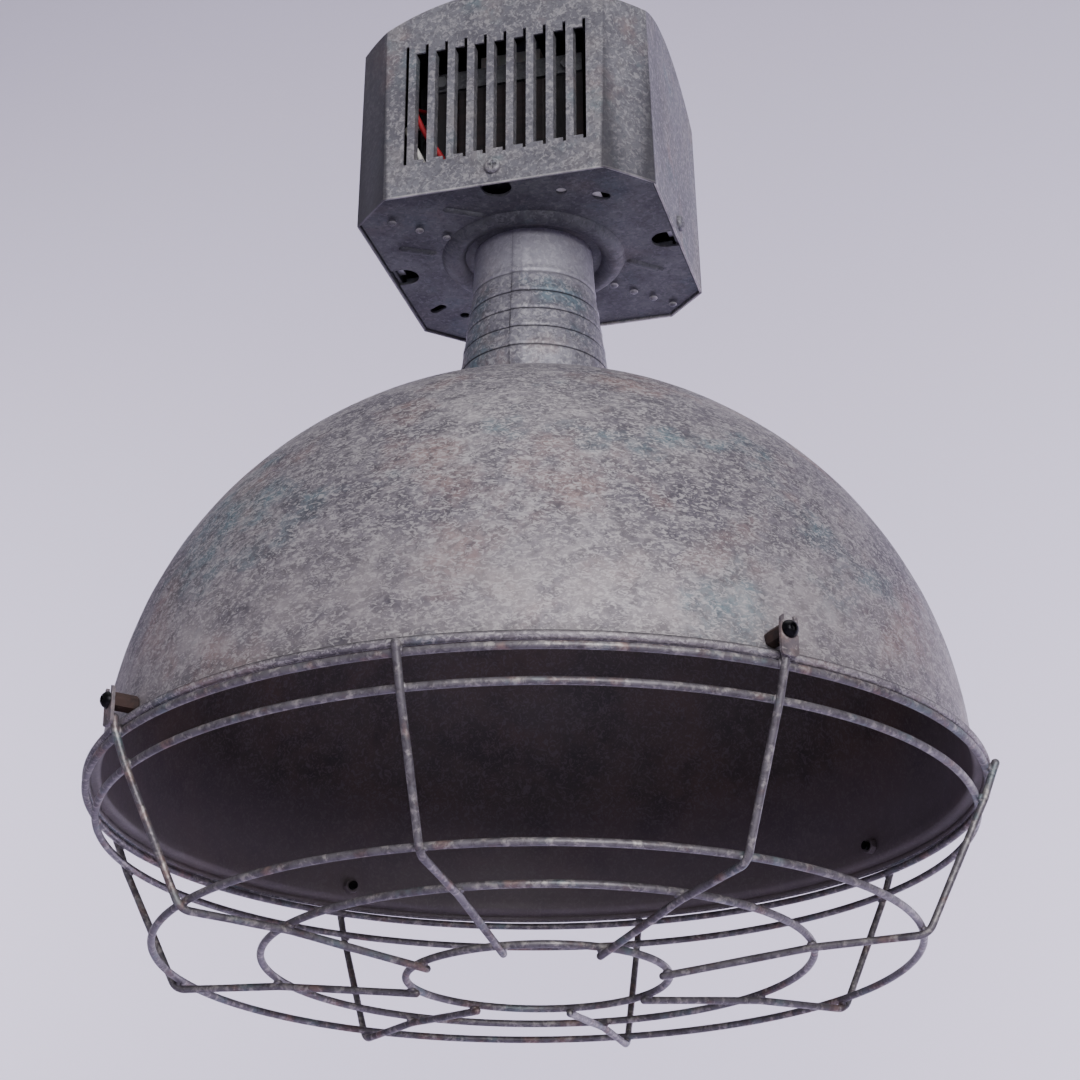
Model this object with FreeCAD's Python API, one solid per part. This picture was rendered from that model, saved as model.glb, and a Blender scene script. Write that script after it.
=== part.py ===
import FreeCAD, Part
import math
import os

from FreeCAD import Vector

# Caged high-bay pendant lamp, in millimetres, +Z up, louvred face towards -Y.
# Heights are counted from the plane of the reflector's rim. Each piece is moved down by
# HANG_HEIGHT when it is saved, so the saved origin is the centre of the hanging hole.
# Angles go round the lamp from the front (-Y) towards +X.

# --- driving dimensions ---
RIM_RADIUS = 240.0          # outside of the rolled bead
BEAD = 2.3                  # radius of the rolled bead
SHELL_RADIUS = 231.4        # outside of the spun hemisphere
SHELL_CENTRE = 2.2          # height of the hemisphere's centre
SHEET = 1.2                 # spun and folded sheet
WIRE = 2.0                  # radius of the guard's wire
WELD = 0.3                  # how far two welded wires sink into each other
RINGS = {                   # guard rings: radius and height of the wire's centre
    "top": (238.0, -4.7),
    "upper": (232.0, -19.6),
    "shoulder": (199.5, -84.0),
    "middle": (143.7, -87.2),
    "center": (68.7, -96.4),
}
RIB_ANGLES = (0, 43, 90, 137, 180, 225, 270, 317)
TAB_ANGLES = RIB_ANGLES[1::2]
FACE_ANGLES = (0, 90, 180, 270)
BOX_HALF = 87.9             # half the gear box's width, at its open bottom edge
BOX_CHAMFER = 23.6          # leg of its corner chamfers
BOX_BOTTOM = 333.0
BOX_SHOULDER = 448.0        # where the side walls meet the domed roof at the corners
BOX_DRAFT = 2.6             # how far each wall leans in by the shoulder
ROOF_RADIUS = 157.0
ROOF_CROWN = 491.5
PLATE_TOP = 336.0           # top of the base plate
PLATE_SHEET = 1.6
NECK_TOP_RADIUS = 34.8
NECK_FIRST_RADIUS = 36.2    # at the top groove
NECK_WIDEST = 42.9          # at the bottom groove
NECK_FOOT_RADIUS = 41.3
NECK_GROOVES = (305.1, 291.7, 279.2, 266.9, 254.2)
HANG_HEIGHT = 530.0         # centre of the hanging hole
HANG_HOLE = 7.0             # radius of the hanging hole
STEM = 8.0                  # radius of the threaded stem
LAMP_RADIUS = 23.0          # tubular lamp
LAMP_TIP = 112.0            # lowest point of the lamp
LAMP_CAP = 19.6             # radius of the lamp's screw cap
SOCKET_MOUTH = 268.0        # lower face of the lampholder

Z_AXIS = Vector(0, 0, 1)
ORIGIN = Vector(0, 0, 0)


# --- small tools ---

def up(height):
    """Point or shift straight up the lamp's axis."""
    return Vector(0, 0, height)


def on_circle(angle, radius, height):
    """Point at an angle round the lamp from the front, a radius and a height."""
    turn = math.radians(angle)
    return Vector(radius * math.sin(turn), -radius * math.cos(turn), height)


def turned(shape, angle):
    """Copy of a shape made at the front, turned to another angle round the lamp."""
    copy = shape.copy()
    copy.rotate(ORIGIN, Z_AXIS, angle)
    return copy


def placed(shape, position, direction):
    """Copy of a shape made along +Z at the origin, moved and pointed along a direction."""
    copy = shape.copy()
    copy.Placement = FreeCAD.Placement(position, FreeCAD.Rotation(Z_AXIS, direction))
    return copy


def box(x_range, y_range, z_range):
    """Block between two limits along each axis."""
    size = [pair[1] - pair[0] for pair in (x_range, y_range, z_range)]
    return Part.makeBox(*size, Vector(x_range[0], y_range[0], z_range[0]))


def rod(start, end, radius):
    """Round bar between two points."""
    return Part.makeCylinder(radius, (end - start).Length, start, end - start)


def tube(outer, inner, low, high):
    """Upright tube on the lamp's axis."""
    solid = Part.makeCylinder(outer, high - low, up(low))
    return solid.cut(Part.makeCylinder(inner, high - low, up(low)))


def hexagon(across_flats, height):
    """Hexagonal prism that stands on the origin."""
    radius = across_flats / math.sqrt(3)
    corners = [Vector(radius * math.cos(k * math.pi / 3), radius * math.sin(k * math.pi / 3), 0)
               for k in range(7)]
    return Part.Face(Part.makePolygon(corners)).extrude(up(height))


def spun(outline):
    """Solid turned round the lamp's axis from a closed outline of (radius, height) points."""
    points = [Vector(radius, 0, height) for radius, height in outline]
    face = Part.Face(Part.makePolygon(points + points[:1]))
    return face.revolve(ORIGIN, Z_AXIS, 360)


def joined(shapes):
    """One solid from touching shapes, without the seams between them."""
    return shapes[0].fuse(shapes[1:]).removeSplitter()


def filleted_path(points, radii):
    """Wire of straight runs through the points, with an arc of the given radius at each bend."""
    edges = []
    start = points[0]
    for before, corner, after, radius in zip(points, points[1:], points[2:], radii):
        inward = (before - corner).normalize()
        onward = (after - corner).normalize()
        half = inward.getAngle(onward) / 2
        reach = radius / math.tan(half)
        middle = (inward + onward).normalize() * (radius / math.sin(half) - radius)
        enter = corner + inward * reach
        leave = corner + onward * reach
        edges.append(Part.LineSegment(start, enter).toShape())
        edges.append(Part.Arc(enter, corner + middle, leave).toShape())
        start = leave
    edges.append(Part.LineSegment(start, points[-1]).toShape())
    return Part.Wire(edges)


def swept(points, radii, wire_radius):
    """Round wire along a filleted path."""
    path = filleted_path(points, radii)
    circle = Part.makeCircle(wire_radius, points[0], points[1] - points[0])
    return path.makePipeShell([Part.Wire(circle)], True, False)


def pan_screw(shank, length, head, head_height):
    """Pan-head screw with a cross recess: shank down from the origin, head above it."""
    slot = head * 0.22
    depth = head_height * 0.55
    body = Part.makeCylinder(head, head_height).fuse(
        Part.makeCylinder(shank, length, up(-length)))
    rim = [edge for edge in body.Edges
           if abs(edge.BoundBox.ZMin - head_height) < 1e-6 and abs(edge.BoundBox.ZMax - head_height) < 1e-6]
    body = body.makeFillet(head_height * 0.6, rim)
    for turn in (0, 90):
        blade = box((-head * 0.55, head * 0.55), (-slot / 2, slot / 2),
                    (head_height - depth, head_height + 1))
        blade.rotate(ORIGIN, Z_AXIS, turn)
        body = body.cut(blade)
    return body


def button_screw(shank, length, head, head_height, key):
    """Button-head socket screw: shank down from the origin, domed head above it."""
    ball = (head * head + head_height * head_height) / (2 * head_height)
    dome = Part.makeSphere(ball, up(head_height - ball))
    dome = dome.common(Part.makeCylinder(head, head_height))
    body = dome.fuse(Part.makeCylinder(shank, length, up(-length)))
    socket = hexagon(key, head_height)
    socket.translate(up(head_height * 0.4))
    return body.cut(socket)


def hex_nut(across_flats, height, bore):
    """Hexagonal nut that stands on the origin, with a plain bore."""
    return hexagon(across_flats, height).cut(Part.makeCylinder(bore, height))


def octagon(half, chamfer, height):
    """Square outline with cut corners, as a wire at a height."""
    near = half - chamfer
    corners = [(near, -half), (half, -near), (half, near), (near, half),
               (-near, half), (-half, near), (-half, -near), (-near, -half), (near, -half)]
    return Part.makePolygon([Vector(x, y, height) for x, y in corners])


def save(name, *shapes):
    """Write one node: its separate solids, moved so that the hanging hole is the origin."""
    solids = [solid for shape in shapes for solid in shape.Solids]
    for solid in solids:
        if not solid.isValid():
            raise ValueError(name + " holds an invalid solid")
    node = Part.makeCompound(solids)
    node.translate(up(-HANG_HEIGHT))
    node.exportStep("parts/" + name + ".step")


# --- reflector ---

NECK_HOLE = 40.4            # hole in the crown of the reflector
COLLAR_RADIUS = 39.2        # outside of the neck ring's collar
COLLAR_SHEET = 2.0
COLLAR_TOP = 246.0
SKIRT_TOP = 5.0             # where the wall starts to flare into the lip
SCREW_HEIGHT = 10.0         # guard screws, above the rim
SCREW_SHANK = 2.5
RING_BOLT_CIRCLE = 54.0     # bolts that hold the reflector to its neck ring
RING_BOLT_ANGLES = (45, 135, 225, 315)


def sphere_height(radius, offset=0.0):
    """Height of the reflector's shell at a radius, offset outwards from its outside."""
    shell = SHELL_RADIUS + offset
    return SHELL_CENTRE + math.sqrt(shell * shell - radius * radius)


def shell_band(inner_radius, outer_radius, low, high):
    """Part of the reflector's shell between two radii, between two offsets from its outside."""
    outer_angle = math.acos(outer_radius / SHELL_RADIUS)
    arcs = []
    for offset in (high, low):
        shell = SHELL_RADIUS + offset
        inner_angle = math.acos(inner_radius / shell)
        angles = (inner_angle, (inner_angle + outer_angle) / 2, outer_angle)
        arcs.append([Vector(shell * math.cos(a), 0, SHELL_CENTRE + shell * math.sin(a)) for a in angles])
    top, bottom = arcs
    edges = [Part.Arc(*top).toShape(),
             Part.LineSegment(top[2], bottom[2]).toShape(),
             Part.Arc(*bottom[::-1]).toShape(),
             Part.LineSegment(bottom[0], top[0]).toShape()]
    return Part.Face(Part.Wire(edges)).revolve(ORIGIN, Z_AXIS, 360)


def reflector_dome():
    """Spun hemisphere with a flared lip, a rolled bead, a neck hole and bolt holes."""
    edge_radius = math.sqrt(SHELL_RADIUS ** 2 - (SKIRT_TOP - SHELL_CENTRE) ** 2)
    bead_centre = RIM_RADIUS - BEAD
    shell = shell_band(NECK_HOLE, edge_radius, -SHEET, 0)
    lip = spun([(edge_radius, SKIRT_TOP), (edge_radius + 1.5, SKIRT_TOP - 2.1),
                (bead_centre, BEAD), (bead_centre, BEAD - SHEET),
                (edge_radius + 0.5, SKIRT_TOP - 3.4), (edge_radius - SHEET, SKIRT_TOP)])
    dome = joined([shell, lip, Part.makeTorus(bead_centre, BEAD)])
    for angle in TAB_ANGLES:
        start = on_circle(angle, SHELL_RADIUS - 9, SCREW_HEIGHT)
        end = on_circle(angle, SHELL_RADIUS + 9, SCREW_HEIGHT)
        dome = dome.cut(rod(start, end, SCREW_SHANK + 0.1))
    for angle in RING_BOLT_ANGLES:
        dome = dome.cut(crown_drill(angle))
    return dome


def crown_seat(angle):
    """Where a neck-ring bolt sits on the crown, and the shell's outward direction there."""
    lean = math.asin(RING_BOLT_CIRCLE / SHELL_RADIUS)
    seat = on_circle(angle, RING_BOLT_CIRCLE, sphere_height(RING_BOLT_CIRCLE))
    return seat, on_circle(angle, math.sin(lean), math.cos(lean))


def crown_drill(angle):
    """Cutter for one bolt hole through the crown and the neck ring."""
    seat, outward = crown_seat(angle)
    return rod(seat - outward * 12, seat + outward * 8, 2.6)


def neck_ring():
    """Ring under the crown: a collar inside the neck and a flange that follows the shell."""
    inside = COLLAR_RADIUS - COLLAR_SHEET
    flange = shell_band(inside, RING_BOLT_CIRCLE + 9, -SHEET - COLLAR_SHEET, -SHEET)
    collar = tube(COLLAR_RADIUS, inside, sphere_height(inside, -SHEET) - 1.5, COLLAR_TOP)
    ring = joined([flange, collar])
    for angle in RING_BOLT_ANGLES:
        ring = ring.cut(crown_drill(angle))
    return ring


def reflector_bolts():
    """Bolts down through the crown and the neck ring, each with a hexagonal nut below."""
    bolt = pan_screw(2.5, 12, 4.6, 2.6)
    nut = hex_nut(8, 4, 2.5)
    pieces = []
    for angle in RING_BOLT_ANGLES:
        seat, outward = crown_seat(angle)
        pieces.append(placed(bolt, seat + outward * 0.1, outward))
        pieces.append(placed(nut, seat - outward * (SHEET + COLLAR_SHEET + 0.1), outward * -1))
    return pieces


# --- neck ---

NECK_SEAM = -4.4            # angle of the lap seam
NECK_GROOVE = 0.7           # depth and half the height of each groove
NECK_LAP_ANGLE = 14.0


def neck_outline(offset):
    """Outside of the sleeve from its top to its foot, as (radius, height) points."""
    points = [(NECK_TOP_RADIUS - 0.2 + offset, PLATE_TOP)]
    span = NECK_GROOVES[0] - NECK_GROOVES[-1]
    for height in NECK_GROOVES:
        share = (NECK_GROOVES[0] - height) / span
        radius = NECK_FIRST_RADIUS + offset + (NECK_WIDEST - NECK_FIRST_RADIUS) * share
        points += [(radius, height + NECK_GROOVE),
                   (radius - NECK_GROOVE, height),
                   (radius + 0.3, height - NECK_GROOVE)]
    points.append((NECK_FOOT_RADIUS + 0.3 + offset, sphere_height(NECK_FOOT_RADIUS) + 0.2))
    return points


def neck_sleeve():
    """Tapered sleeve rolled from sheet, with fine grooves, a lap seam and a flange on top."""
    flange_top = PLATE_TOP + SHEET
    flange_radius = NECK_TOP_RADIUS + 10
    foot = (NECK_FOOT_RADIUS - SHEET + 0.3, sphere_height(NECK_FOOT_RADIUS - SHEET) + 0.2)
    waist = (NECK_WIDEST - 2.1, NECK_GROOVES[-1])
    throat = (NECK_FIRST_RADIUS - 2.1, NECK_GROOVES[0])
    mouth = (NECK_TOP_RADIUS - 1.6, flange_top)
    flange = [(flange_radius, flange_top), (flange_radius, PLATE_TOP)]
    sleeve = spun(neck_outline(0) + [foot, waist, throat, mouth] + flange)
    lap_outline = neck_outline(0.7)[1:] + neck_outline(-0.2)[:0:-1]
    lap = Part.Face(Part.makePolygon([Vector(r, 0, z) for r, z in lap_outline + lap_outline[:1]]))
    lap = lap.revolve(ORIGIN, Z_AXIS, NECK_LAP_ANGLE)
    return joined([sleeve, turned(lap, NECK_SEAM - 90)])


# --- gear box ---

PLATE_BOTTOM = PLATE_TOP - PLATE_SHEET
PLATE_HALF = 85.9
PLATE_RIM = 14.0            # height of the plate's upturned rim above its top
BEAD_CREST = 47.0           # pressed ridge round the neck: crest radius, half width, depth
BEAD_HALF = 7.0
BEAD_DEPTH = 4.0
NOTCH_HALF = 8.5
NOTCH_END = 79.9            # centre of the notch's rounded end, from the axis
FACE_SCREW_HEIGHT = 344.0
PRESSED_RIBS = (            # short stiffening ribs in the plate: start and end
    ((-33.4, -65.3), (-16.8, -55.1)),
    ((-70.9, -31.1), (-55.9, -22.2)),
    ((54.7, 18.5), (69.2, 32.2)),
)
RIVET_ROWS = (              # first rivet, step and count
    ((39.0, 41.0), (9.7, 10.6), 4),
    ((-41.8, -38.7), (-12.7, -11.9), 3),
)
LOUVRE_FIRST = -52.0        # leftmost slit
LOUVRE_PITCH = 11.7
LOUVRE_COUNT = 10
SLIT_HALF = 0.95
SLIT_SPAN = (354.0, 436.0)
WINDOW_WIDTH = 5.45
WINDOW_SPAN = (356.5, 430.4)
FLAP = 1.0                  # thickness of the folded louvre flaps
BOX_LEAN = math.degrees(math.atan(BOX_DRAFT / (BOX_SHOULDER - BOX_BOTTOM)))
GLAND_RADIUS = 42.0         # where the cable gland stands on the roof


def box_inset(height):
    """How far the side walls have leant in at a height."""
    return BOX_DRAFT * (height - BOX_BOTTOM) / (BOX_SHOULDER - BOX_BOTTOM)


def roof_height(radius):
    """Height of the domed roof at a radius."""
    return ROOF_CROWN - ROOF_RADIUS + math.sqrt(ROOF_RADIUS ** 2 - radius ** 2)


def box_body(offset, low):
    """Octagonal prism under a domed roof, inset by an offset, from a height up."""
    high = ROOF_CROWN + 10
    leg = BOX_CHAMFER - offset * (2 - math.sqrt(2))
    outlines = [octagon(BOX_HALF - offset - box_inset(z), leg - box_inset(z) * 1.3, z) for z in (low, high)]
    prism = Part.makeLoft(outlines, True, True)
    return prism.common(Part.makeSphere(ROOF_RADIUS - offset, up(ROOF_CROWN - ROOF_RADIUS)))


def leant(shape):
    """Shape made against an upright front wall, tilted to lie on the leaning one."""
    copy = shape.copy()
    copy.rotate(Vector(0, -BOX_HALF, BOX_BOTTOM), Vector(1, 0, 0), -BOX_LEAN)
    return copy


def louvre(slit_x, with_window):
    """One louvre: the cuts through the front wall, and the flap folded in beside them."""
    depth = (-BOX_HALF - 3, -BOX_HALF + 4)
    left = slit_x - SLIT_HALF - WINDOW_WIDTH
    cut = box((slit_x - SLIT_HALF, slit_x + SLIT_HALF), depth, SLIT_SPAN)
    if not with_window:
        return cut, None
    window = box((left, slit_x), depth, WINDOW_SPAN)
    flap = box((left - FLAP, left), (-BOX_HALF + 0.2, -BOX_HALF + SHEET + WINDOW_WIDTH), WINDOW_SPAN)
    return cut.fuse(window), flap


def gear_cover():
    """Folded cover: leaning walls, domed roof, louvred front, screw holes and roof holes."""
    cover = box_body(0, BOX_BOTTOM).cut(box_body(SHEET, BOX_BOTTOM - 1))
    for index in range(LOUVRE_COUNT):
        cut, flap = louvre(LOUVRE_FIRST + LOUVRE_PITCH * index, index > 0)
        cover = cover.cut(leant(cut))
        if flap:
            cover = cover.fuse(leant(flap))
    for angle in FACE_ANGLES:
        hole = rod(on_circle(angle, 75, FACE_SCREW_HEIGHT), on_circle(angle, 95, FACE_SCREW_HEIGHT), 2.6)
        cover = cover.cut(hole)
    cover = cover.cut(Part.makeCylinder(STEM + 0.2, 40, up(ROOF_CROWN - 30)))
    seat, outward = gland_seat()
    return cover.cut(rod(seat - outward * 8, seat + outward * 8, 8.2))


def base_plate():
    """Tray that closes the box: upturned rim, ridge round the neck, notches, holes and ribs."""
    floor = Part.Face(octagon(PLATE_HALF, BOX_CHAMFER - 1, PLATE_BOTTOM))
    inner = Part.Face(octagon(PLATE_HALF - PLATE_SHEET, BOX_CHAMFER - 2, PLATE_TOP))
    plate = floor.extrude(up(PLATE_SHEET + PLATE_RIM)).cut(inner.extrude(up(PLATE_RIM)))
    plate = plate.cut(tube(BEAD_CREST + BEAD_HALF, BEAD_CREST - BEAD_HALF, PLATE_BOTTOM, PLATE_TOP))
    plate = plate.cut(Part.makeCylinder(NECK_TOP_RADIUS, 40, up(PLATE_BOTTOM - 20)))
    plate = plate.fuse([plate_bead()] + [pressed_rib(*ends) for ends in PRESSED_RIBS])
    for angle in FACE_ANGLES:
        notch = box((-NOTCH_HALF, NOTCH_HALF), (-BOX_HALF, -NOTCH_END), (PLATE_BOTTOM, PLATE_TOP))
        end = Part.makeCylinder(NOTCH_HALF, PLATE_SHEET, Vector(0, -NOTCH_END, PLATE_BOTTOM))
        bolt = rod(Vector(0, -75, FACE_SCREW_HEIGHT), Vector(0, -95, FACE_SCREW_HEIGHT), 2.6)
        plate = plate.cut(turned(notch.fuse(end).fuse(bolt), angle))
    for cutter in plate_holes():
        plate = plate.cut(cutter)
    return plate


def plate_bead():
    """Pressed ridge round the neck on the plate's underside."""
    inner, outer = BEAD_CREST - BEAD_HALF, BEAD_CREST + BEAD_HALF
    wall = PLATE_SHEET * 0.9
    edges = [Part.Arc(Vector(inner, 0, PLATE_BOTTOM), Vector(BEAD_CREST, 0, PLATE_BOTTOM - BEAD_DEPTH),
                      Vector(outer, 0, PLATE_BOTTOM)).toShape(),
             Part.LineSegment(Vector(outer, 0, PLATE_BOTTOM), Vector(outer, 0, PLATE_TOP)).toShape(),
             Part.LineSegment(Vector(outer, 0, PLATE_TOP), Vector(outer - wall, 0, PLATE_TOP)).toShape(),
             Part.Arc(Vector(outer - wall, 0, PLATE_TOP),
                      Vector(BEAD_CREST, 0, PLATE_TOP - BEAD_DEPTH),
                      Vector(inner + wall, 0, PLATE_TOP)).toShape(),
             Part.LineSegment(Vector(inner + wall, 0, PLATE_TOP), Vector(inner, 0, PLATE_TOP)).toShape(),
             Part.LineSegment(Vector(inner, 0, PLATE_TOP), Vector(inner, 0, PLATE_BOTTOM)).toShape()]
    return Part.Face(Part.Wire(edges)).revolve(ORIGIN, Z_AXIS, 360)


def pressed_rib(start, end):
    """Short rib that stands a little below the plate's underside."""
    radius = 3.0
    ends = [Vector(point[0], point[1], PLATE_TOP - 0.2) for point in (start, end)]
    capsule = rod(ends[0], ends[1], radius).fuse([Part.makeSphere(radius, point) for point in ends])
    below = box((-BOX_HALF, BOX_HALF), (-BOX_HALF, BOX_HALF), (PLATE_BOTTOM - 5, PLATE_TOP))
    return capsule.common(below)


def plate_holes():
    """Cutters for the plate's spare holes, its slots and its rivets."""
    low = PLATE_BOTTOM - 1
    cutters = [Part.makeCylinder(radius, 4, Vector(x, y, low))
               for x, y, radius in ((34.3, -67.3, 3.2), (-58.6, 54.0, 3.0))]
    for x, y, radius, reach, turn in ((54.8, -56.6, 3.6, 2.0, 35), (-72.0, 42.0, 2.8, 3.2, -30)):
        slot = joined([Part.makeCylinder(radius, 4, Vector(side * reach, 0, 0)) for side in (-1, 1)]
                      + [box((-reach, reach), (-radius, radius), (0, 4))])
        slot.rotate(ORIGIN, Z_AXIS, turn)
        slot.translate(Vector(x, y, low))
        cutters.append(slot)
    cutters += [Part.makeCylinder(1.6, 4, Vector(x, y, low)) for x, y in rivet_places()]
    return cutters


def rivet_places():
    """Middle of each rivet on the plate."""
    places = []
    for (x, y), (step_x, step_y), count in RIVET_ROWS:
        places += [(x + step_x * k, y + step_y * k) for k in range(count)]
    return places


def plate_rivets():
    """Round-headed rivets along one diagonal of the plate."""
    head = Part.makeSphere(2.9).common(Part.makeCylinder(2.4, 4, up(1.2)))
    head.translate(up(-1.2))
    rivets = []
    for x, y in rivet_places():
        shank = Part.makeCylinder(1.6, PLATE_SHEET, Vector(x, y, PLATE_BOTTOM))
        lower = placed(head, Vector(x, y, PLATE_BOTTOM), Z_AXIS * -1)
        upper = placed(head, Vector(x, y, PLATE_TOP), Z_AXIS)
        rivets.append(shank.fuse([lower, upper]))
    return rivets


def cover_screws():
    """One cross-recess screw in the middle of each side, near the bottom edge."""
    screw = pan_screw(2.5, 9, 4.7, 3.0)
    seat_radius = BOX_HALF - box_inset(FACE_SCREW_HEIGHT) + 0.15
    return [placed(screw, on_circle(angle, seat_radius, FACE_SCREW_HEIGHT), on_circle(angle, 1, 0))
            for angle in FACE_ANGLES]


def cover_nuts():
    """Square nuts fixed behind the plate's rim, one for each cover screw."""
    face = PLATE_HALF - PLATE_SHEET
    nut = box((-5, 5), (-face, -face + 3.5), (FACE_SCREW_HEIGHT - 5, FACE_SCREW_HEIGHT + 5))
    nut = nut.cut(rod(Vector(0, -face, FACE_SCREW_HEIGHT), Vector(0, -face + 4, FACE_SCREW_HEIGHT), 2.5))
    return [turned(nut, angle) for angle in FACE_ANGLES]


# --- suspension ---

STRAP_TOP = 484.5
STRAP_SHEET = 3.0
STRAP_HALF = 20.0           # half the strap's width
STRAP_LEG = 65.0            # outside of the legs, from the axis
STEM_FOOT = 472.0
STEM_BORE = 3.0             # radius of the wire hole through the stem
STEM_GRIP = 10.0            # how far the stem is screwed into the eye
EYE_BASE = 504.0
EYE_BASE_RADIUS = 13.0
EYE_BASE_HEIGHT = 16.0
EYE_WIDTH = 14.0            # half the eye plate's width
EYE_HALF = 4.0              # half the eye plate's thickness
GLAND_THREAD = 8.0          # radius of the gland's thread, and of the bore through it
GLAND_BORE = 5.6
CORD_HOLE = 3.5             # radius of the hole through the seal
GLAND_NUT = 22.0            # across the flats of the gland's body and lock nut
GLAND_TAIL = 10.0
GLAND_COLLAR = 5.0
GLAND_NECK = 8.0
GLAND_CAP = 10.6            # radius of the domed cap
LOCK_NUT = 3.5
BIG_NUT = 24.0              # stem nut across its flats, and its height
BIG_NUT_HEIGHT = 9.5


def carrier_strap():
    """Steel strap from the plate up over the gear to the stem, welded at its feet."""
    leg, knee, crown = STRAP_LEG, 452.0, 32.0
    foot, sheet = 82.0, STRAP_SHEET
    outer = [(-foot, PLATE_TOP), (-foot, PLATE_TOP + sheet), (-leg, PLATE_TOP + sheet), (-leg, knee),
             (-crown, STRAP_TOP), (crown, STRAP_TOP), (leg, knee), (leg, PLATE_TOP + sheet),
             (foot, PLATE_TOP + sheet), (foot, PLATE_TOP)]
    inner = [(leg - sheet, PLATE_TOP), (leg - sheet, knee - 1.3), (crown - 1.3, STRAP_TOP - sheet),
             (1.3 - crown, STRAP_TOP - sheet), (sheet - leg, knee - 1.3), (sheet - leg, PLATE_TOP)]
    outline = [Vector(x, -STRAP_HALF, z) for x, z in outer + inner]
    strap = Part.Face(Part.makePolygon(outline + outline[:1])).extrude(Vector(0, 2 * STRAP_HALF, 0))
    strap = strap.cut(Part.makeCylinder(STEM + 0.1, 10, up(STRAP_TOP - 6)))
    for side in (-1, 1):
        x_range = sorted((side * (NOTCH_END - NOTCH_HALF - 1), side * BOX_HALF))
        strap = strap.cut(box(x_range, (-NOTCH_HALF - 1, NOTCH_HALF + 1), (PLATE_TOP, PLATE_TOP + sheet)))
    return strap


def hanger_stem():
    """Hollow stem from inside the box up into the eye."""
    length = EYE_BASE + STEM_GRIP - STEM_FOOT
    return tube(STEM, STEM_BORE, STEM_FOOT, STEM_FOOT + length)


def hanger_nuts():
    """Nuts that clamp the strap and the roof on the stem."""
    nut = hex_nut(BIG_NUT, BIG_NUT_HEIGHT, STEM)
    tops = (STRAP_TOP - STRAP_SHEET, EYE_BASE)
    return [placed(nut, up(top - BIG_NUT_HEIGHT), Z_AXIS) for top in tops]


def hanger_eye():
    """Screwed base with a flat eye plate and its hanging hole."""
    base = Part.makeCylinder(EYE_BASE_RADIUS, EYE_BASE_HEIGHT, up(EYE_BASE))
    plate = box((-EYE_WIDTH, EYE_WIDTH), (-EYE_HALF, EYE_HALF), (EYE_BASE + EYE_BASE_HEIGHT - 4, HANG_HEIGHT))
    front, back = Vector(0, -EYE_HALF, HANG_HEIGHT), Vector(0, EYE_HALF, HANG_HEIGHT)
    eye = joined([base, plate, rod(front, back, EYE_WIDTH)])
    return eye.cut(Part.makeCylinder(STEM, STEM_GRIP, up(EYE_BASE))).cut(rod(front, back, HANG_HOLE))


def gland_seat():
    """Where the cable gland stands on the roof, and its outward direction."""
    lean = math.asin(GLAND_RADIUS / ROOF_RADIUS)
    return Vector(0, GLAND_RADIUS, roof_height(GLAND_RADIUS)), Vector(0, math.sin(lean), math.cos(lean))


def cable_gland():
    """Gland body, lock nut inside the roof, domed cap and rubber seal, along the gland's axis."""
    collar = tube(GLAND_THREAD, GLAND_BORE, -GLAND_TAIL, GLAND_COLLAR + GLAND_NECK)
    body = hexagon(GLAND_NUT, GLAND_COLLAR).cut(Part.makeCylinder(GLAND_BORE, GLAND_COLLAR)).fuse(collar)
    nut = hex_nut(GLAND_NUT, LOCK_NUT, GLAND_THREAD)
    nut.translate(up(-SHEET - LOCK_NUT - 0.5))
    cap_foot = GLAND_COLLAR + 0.2
    ball = Part.makeSphere(GLAND_CAP + 0.9, up(cap_foot + 3.3))
    cap = ball.common(Part.makeCylinder(GLAND_CAP, 12.5, up(cap_foot)))
    cap = cap.cut(Part.makeCylinder(GLAND_THREAD + 0.1, GLAND_NECK, up(GLAND_COLLAR)))
    cap = cap.cut(Part.makeCylinder(CORD_HOLE + 1.1, 30))
    seal = tube(GLAND_BORE - 0.1, CORD_HOLE, 2, 12)
    return body, nut, cap, seal


# --- control gear ---

CORE_HALF = 46.0            # ballast laminations, half width
CORE_Y = (-60.0, -16.0)
CORE_Z = (348.0, 428.0)
YOKE = 16.0                 # width of the core's outer legs and yokes
CLAMP = 2.0                 # sheet of the ballast's angle bars
CLAMP_LEG = 12.0
FOOT_X = 56.0               # fixing studs, from the middle
CAPACITOR = Vector(-38, 53, 0)
CAN_RADIUS = 18.0
CAN_HEIGHT = 78.0
TAG_HALF = 3.2              # half the width of the can's push-on tags
CLIP_SHEET = 1.2
IGNITER_X = (30.0, 62.0)
IGNITER_Y = (2.0, 34.0)
IGNITER_Z = (350.0, 408.0)
STUD_X = (36.0, 46.0, 56.0)
TERMINAL_X = (-12.0, 0.0, 12.0)
TERMINAL_Y = (-50.0, -28.0)
TERMINAL_MIDDLE = sum(TERMINAL_Y) / 2
TERMINAL_WELL = 8.0         # floor of each screw well above the block's base
WIRE_RADIUS = 1.6
RED_ROUTE = (               # terminal, round the ballast's left end, down the front, into the neck
    (-12, -33, 435), (-12, -22, 435), (-32, -17, 437), (-51, -22, 435), (-53, -44, 417),
    (-53, -66, 405), (-50, -77, 396), (-43, -78, 379), (-33, -78.5, 362), (-27, -78, 350),
    (-22, -76.5, 343.5), (-24, -56, 343.4), (-16, -34, 343.5), (2, -21, 342.5), (2, -18, 335),
    (2, -18, 326),
)
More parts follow.
